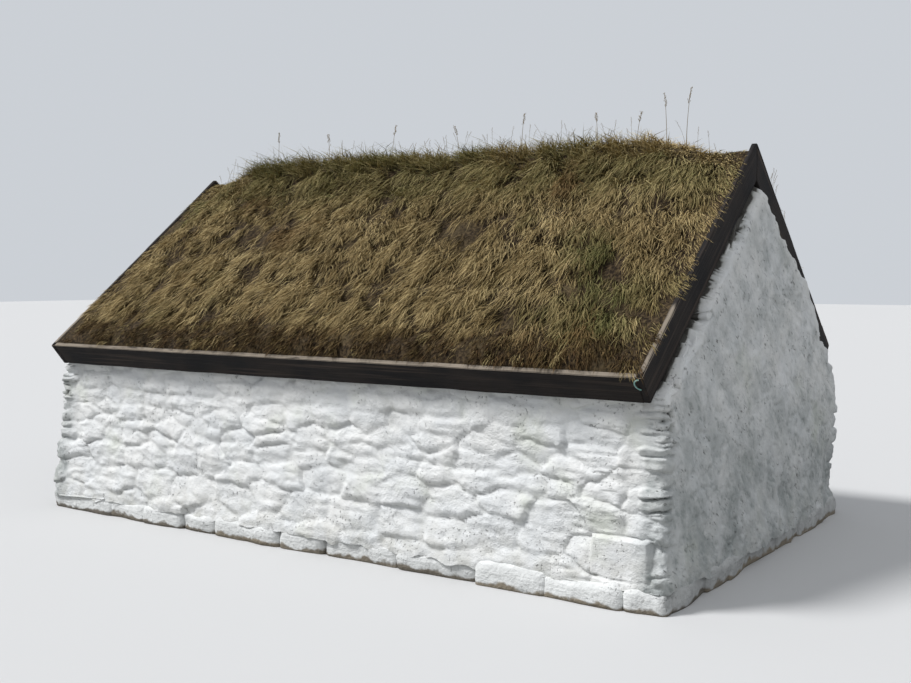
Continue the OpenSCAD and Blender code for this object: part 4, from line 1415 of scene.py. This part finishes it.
def slope_tufts(side, count, seed):
    """Tufts scattered in clumps over one slope, short at the verges, and short, dead and darkened as painted
    shade above the eaves.
    """
    rng = np.random.default_rng(seed)
    first_across = 0.15
    x = rng.uniform(-board_back + 0.02, board_back - 0.02, count * 2)
    across = rng.uniform(first_across, turf_end_y - 0.025, count * 2)
    flat = vectors(x, side * across)
    clumps = soft_noise(flat, (0.16, 0.22, 1), 121) + 0.6 * soft_noise(flat, 0.07, 122)
    keep = np.flatnonzero(clumps + rng.uniform(-1.0, 1.2, len(x)) > -0.1)[:count]
    x, across, flat, clumps = x[keep], across[keep], flat[keep], clumps[keep]
    to_verge = board_back - np.abs(x)
    to_eaves = turf_end_y - across
    from_ridge = across - first_across
    length = 0.15 + 0.05 * soft_noise(flat, 0.3, 123) + 0.05 * fade(from_ridge, 0.3, 0.0)
    length *= (0.50 + 0.50 * fade(to_verge, 0.02, 0.20)) * (0.42 + 0.58 * fade(to_eaves, 0.03, 0.32))
    puff = (0.42 + 0.18 * clumps) * (0.6 + 0.4 * fade(to_verge, 0.02, 0.20))
    puff *= 0.5 + 0.5 * fade(to_eaves, 0.03, 0.22)
    patches = soft_noise(flat, 0.62, 124) + 0.5 * soft_noise(flat, 0.2, 125)
    dry = np.clip(1.0 - 0.55 * fade(from_ridge, 0.40, 0.05) - 0.85 * fade(patches, 0.30, 0.9), 0, 1)
    # Painted shade and dead grass: tufts darker and browner just above the eaves
    eaves_dead_and_shade = fade(to_eaves + 0.05 * soft_noise(flat, 0.12, 134), 0.27, 0.10)
    light = 0.48 + 0.08 * fade(from_ridge, 0.35, 0.05) + 0.28 * soft_noise(flat, 0.11, 126)
    light += 0.12 * clumps - 0.48 * eaves_dead_and_shade
    dead = 0.85 * eaves_dead_and_shade + fade(to_verge, 0.06, 0.01) * 0.3
    dead = np.maximum(dead, 0.7 * fade(-soft_noise(flat, (0.2, 0.3, 1), 127), 0.35, 0.8))
    return x, side * across, length, puff, dry, light, dead


def eaves_tufts(side, count, seed):
    """Short tufts in clumps on the dark soil behind the eaves board, most darkened as painted shade, a few of
    them pale.
    """
    rng = np.random.default_rng(seed)
    x = rng.uniform(-board_back + 0.015, board_back - 0.015, count * 3)
    across = turf_end_y - 0.02 - 0.20 * rng.uniform(0, 1, count * 3) ** 1.3
    flat = vectors(x, side * across)
    keep = np.flatnonzero(soft_noise(flat, 0.10, 128) + rng.uniform(-0.7, 0.7, len(x)) > 0.05)[:count]
    x, across, flat = x[keep], across[keep], flat[keep]
    pale = rng.uniform(0, 1, len(x)) < 0.12
    # Painted shade: all but the pale tufts kept dark
    light = np.where(pale, 0.45, 0.06 + 0.2 * soft_noise(flat, 0.10, 129))
    length = rng.uniform(0.04, 0.10, len(x))
    dead = np.where(pale, 0.0, rng.uniform(0.4, 1.0, len(x)))
    puff, dry = rng.uniform(0.35, 0.6, len(x)), rng.uniform(0.7, 1.0, len(x))
    return x, side * across, length, puff, dry, light, dead


def ridge_tufts(count, seed):
    """Upright tufts along the ridge, shorter towards the gables."""
    rng = np.random.default_rng(seed)
    x = rng.uniform(-board_back + 0.02, board_back - 0.02, count)
    y = rng.normal(0, 0.19, count).clip(-0.5, 0.5)
    flat = vectors(x, y)
    from_gable = board_face - np.abs(x)
    length = np.interp(from_gable, [0.03, 0.17, 0.37, 0.6, 0.83], [0.035, 0.05, 0.085, 0.155, 0.185])
    length *= (1 + 0.25 * soft_noise(flat, 0.15, 131)) * (1 - 0.45 * fade(np.abs(y), 0.08, 0.42))
    puff = 0.70 - 0.3 * fade(from_gable, 0.35, 0.1)
    dry = np.clip(0.52 + 0.5 * soft_noise(flat, 0.35, 132) + 0.3 * fade(from_gable, 0.8, 0.3), 0, 1)
    light = 0.68 + 0.25 * soft_noise(flat, 0.10, 133)
    return x, y, length, puff, dry, light, np.zeros(count)


def apex_tufts(count, seed):
    """Short pale tufts that fill the corners between the ridge and the gables."""
    rng = np.random.default_rng(seed)
    from_middle = 1.62
    x = rng.uniform(from_middle, board_back - 0.012, count) * rng.choice([-1, 1], count)
    y = rng.uniform(-0.36, 0.36, count)
    inward = board_back - np.abs(x)
    length = 0.055 + 0.05 * fade(inward, 0.02, 0.4) + rng.uniform(-0.01, 0.01, count)
    dry, light, dead = [rng.uniform(low, high, count) for low, high in ((0.7, 1.0), (0.4, 0.9), (0.0, 0.25))]
    return x, y, length, np.full(count, 0.40), dry, light, dead


def stem(points, foot, top, radius_foot, radius_top, bend):
    """Adds the points of a thin stem that bends over towards its top and returns its faces."""
    first, rings, sides = len(points), 7, 5
    for ring in range(rings):
        share = ring / (rings - 1)
        middle = foot.lerp(top, share) + bend * (share * share)
        radius = radius_foot + (radius_top - radius_foot) * share
        for turn in np.arange(sides) * (2 * math.pi / sides):
            points.append((middle.x + radius * math.cos(turn), middle.y + radius * math.sin(turn), middle.z))
    return first + tube_quads(rings, sides)


def grain_of_seed(points, middle, along, length, width):
    """Adds a pointed seed and returns its faces."""
    first = len(points)
    side = along.orthogonal().normalized()
    other = along.cross(side).normalized()
    points.append(tuple(middle - along * length))
    points += [tuple(middle + offset * width) for offset in (side, other, -side, -other)]
    points.append(tuple(middle + along * length))
    faces = []
    for a, b in ((1, 2), (2, 3), (3, 4), (4, 1)):
        faces += [(first, first + b, first + a), (first + 5, first + a, first + b)]
    return faces


# Tall stalks: place as a share of half the house, height of the tip over the boards' apex, lean in x and y
tall_stalks = [
    (0.805, 0.350, 0.035, -0.02), (0.749, 0.337, -0.025, 0.015), (0.660, 0.235, 0.04, -0.02),
    (0.540, 0.260, -0.03, 0.03), (0.290, 0.290, 0.03, -0.015), (0.070, 0.250, -0.03, -0.02),
    (-0.190, 0.300, 0.02, 0.025), (-0.450, 0.280, -0.03, 0.02), (-0.680, 0.320, 0.03, -0.02),
]
tall_radius, low_radius, verge_radius = 0.0021, 0.0011, 0.0013
low_stalks, low_reach = 130, 1.95
verge_stalks, verge_reach, verge_across = 20, (2.04, 2.15), (0.25, 0.72)


def lay_stalks(rng):
    """Stalks as x, y, height of the tip, lean and radius: tall ones on the crest, low ones round them, and
    a few behind the far verge of the plain gable."""
    stalks = [(share * board_face, 0.0, apex_z + tip, Vector((lean_x, lean_y, 0)), tall_radius)
              for share, tip, lean_x, lean_y in tall_stalks]
    for _ in range(low_stalks):
        x, y = rng.uniform(-low_reach, low_reach), rng.normal(0, 0.16)
        tip = float(turf_top(np.array([x]), np.array([y]))[0]) + rng.uniform(0.05, 0.15)
        stalks.append((x, y, tip, Vector(rng.normal(0, 0.035, 3)), low_radius))
    for _ in range(verge_stalks):
        x, y = rng.uniform(*verge_reach), rng.uniform(*verge_across)
        tip = float(roof_z(y, 0)) + rng.uniform(0.07, 0.24)
        lean = Vector((rng.uniform(-0.01, 0.06), rng.normal(0, 0.03), 0))
        stalks.append((x, y, tip, lean, verge_radius))
    return stalks


def build_stalks():
    """Tall dry stalks with open seed heads on the crest, and fine low ones round them."""
    rng = np.random.default_rng(141)
    points, quads, triangles = [], [], []
    for x, y, tip, lean, radius in lay_stalks(rng):
        ground = float(soil_top(np.array([x]), np.array([y]))[0]) - 0.02
        lean.z = -0.12 * (tip - ground)
        foot, top = Vector((x, y, ground)), Vector((x, y, tip - lean.z))
        quads.append(stem(points, foot, top, radius, radius * 0.45, lean))
        seeds, seed_length = (26, 0.0055) if radius == tall_radius else (9, 0.0035)
        for number in range(seeds):
            share = 1 - 0.26 * number / seeds
            on_stem = foot.lerp(top, share) + lean * (share * share)
            around = Vector((*rng.normal(0, 1, 3)[:2], 0)).normalized()
            out = around * float(rng.uniform(0.25, 1.0)) * radius * 5
            along = (out * 25 + Vector((0, 0, 1.8))).normalized()
            triangles += grain_of_seed(points, on_stem + out, along, seed_length, radius * 0.9)
    marks = {mark: np.full(len(points), value) for mark, value in
             (("tip", 0.8), ("dry", 0.95), ("light", 0.12), ("dead", 0.15))}
    make_piece("tall_stalks", np.array(points), [np.concatenate(quads), triangles], dry_grass,
               ["seed_stalks"], marks=marks)


build_plain_gable()
build_door_gable()
build_long_wall("near_wall", "near_long_wall", -1, 0.012, 86)
build_long_wall("far_wall", "far_long_wall", 1, 0.014, 74)
build_footings()
build_threshold()
build_skew_stones()
build_timbers()
build_nail_heads()
smooth_copy("corner_hook", "eaves_hook", teal)
smooth_copy("door_straps", "door_hinges", iron)
smooth_copy("latch", "door_latch", iron)
build_mat("near_mat", "near_turf", np.linspace(-turf_end_y, -ridge_half, 54))
build_mat("ridge_mat", "ridge_turf", np.linspace(-ridge_half, ridge_half, 21))
build_mat("far_mat", "far_turf", np.linspace(ridge_half, turf_end_y, 54))
grass("near_grass", slope_tufts(-1, 1900, 151), 33, 152)
grass("far_grass", slope_tufts(1, 1560, 153), 26, 154)
grass("near_eaves_grass", eaves_tufts(-1, 330, 159), 24, 160)
grass("far_eaves_grass", eaves_tufts(1, 300, 161), 24, 162)
grass("ridge_grass", ridge_tufts(980, 155), 27, 156, 0.60)
grass("apex_grass", apex_tufts(420, 157), 26, 158, 0.25)
build_stalks()


# Stage, lamps and camera

def build_stage():
    """Plain pale floor that runs on to the horizon, and a pale sky."""
    look = Finish("pale floor")
    look.set(Base_Color=look.blend(look.seen(), (0.30, 0.30, 0.29), (0.60, 0.60, 0.60)), Roughness=0.9)
    bpy.ops.mesh.primitive_plane_add(size=120, location=(0, 0, 0))
    floor = bpy.context.object
    floor.name = "floor"
    floor.data.materials.append(look.material)
    world = bpy.data.worlds.new("pale sky")
    bpy.context.scene.world = world
    sky = Tree(world)
    light = sky.node("ShaderNodeBackground", {}, {"Color": (0.82, 0.86, 0.92), "Strength": 0.44})
    backdrop = sky.node("ShaderNodeBackground", {}, {"Color": (0.60, 0.63, 0.67), "Strength": 1.0})
    either = sky.node("ShaderNodeMixShader", {}, {0: sky.seen(), 1: light, 2: backdrop})
    sky.feed(sky.nodes["World Output"].inputs["Surface"], either)


def add_lamp(name, towards, energy, angle):
    """A lamp as far away as the sun, in a direction from the house, that looks angle degrees wide."""
    lamp = bpy.data.lights.new(name, "SUN")
    lamp.energy = energy
    lamp.angle = math.radians(angle)
    light = bpy.data.objects.new(name, lamp)
    light.rotation_euler = Vector(towards).to_track_quat("Z", "Y").to_euler()
    bpy.context.scene.collection.objects.link(light)


def build_camera():
    """A camera at eye height, turned to the whole house from the side that the photograph shows."""
    camera = bpy.data.objects.new("camera", bpy.data.cameras.new("camera"))
    bpy.context.scene.collection.objects.link(camera)
    camera.location = (4.38, -6.26, 1.6)
    aim = Vector((0.12, 0.0, 1.16))
    camera.rotation_euler = (aim - camera.location).to_track_quat("-Z", "Y").to_euler()
    camera.data.lens = 44
    bpy.context.scene.camera = camera


build_stage()
add_lamp("key", (-0.56, -0.48, 0.92), 3.0, 16)
add_lamp("fill", (0.45, -0.30, 0.95), 0.5, 80)
build_camera()
bpy.context.scene.view_settings.view_transform = "Standard"
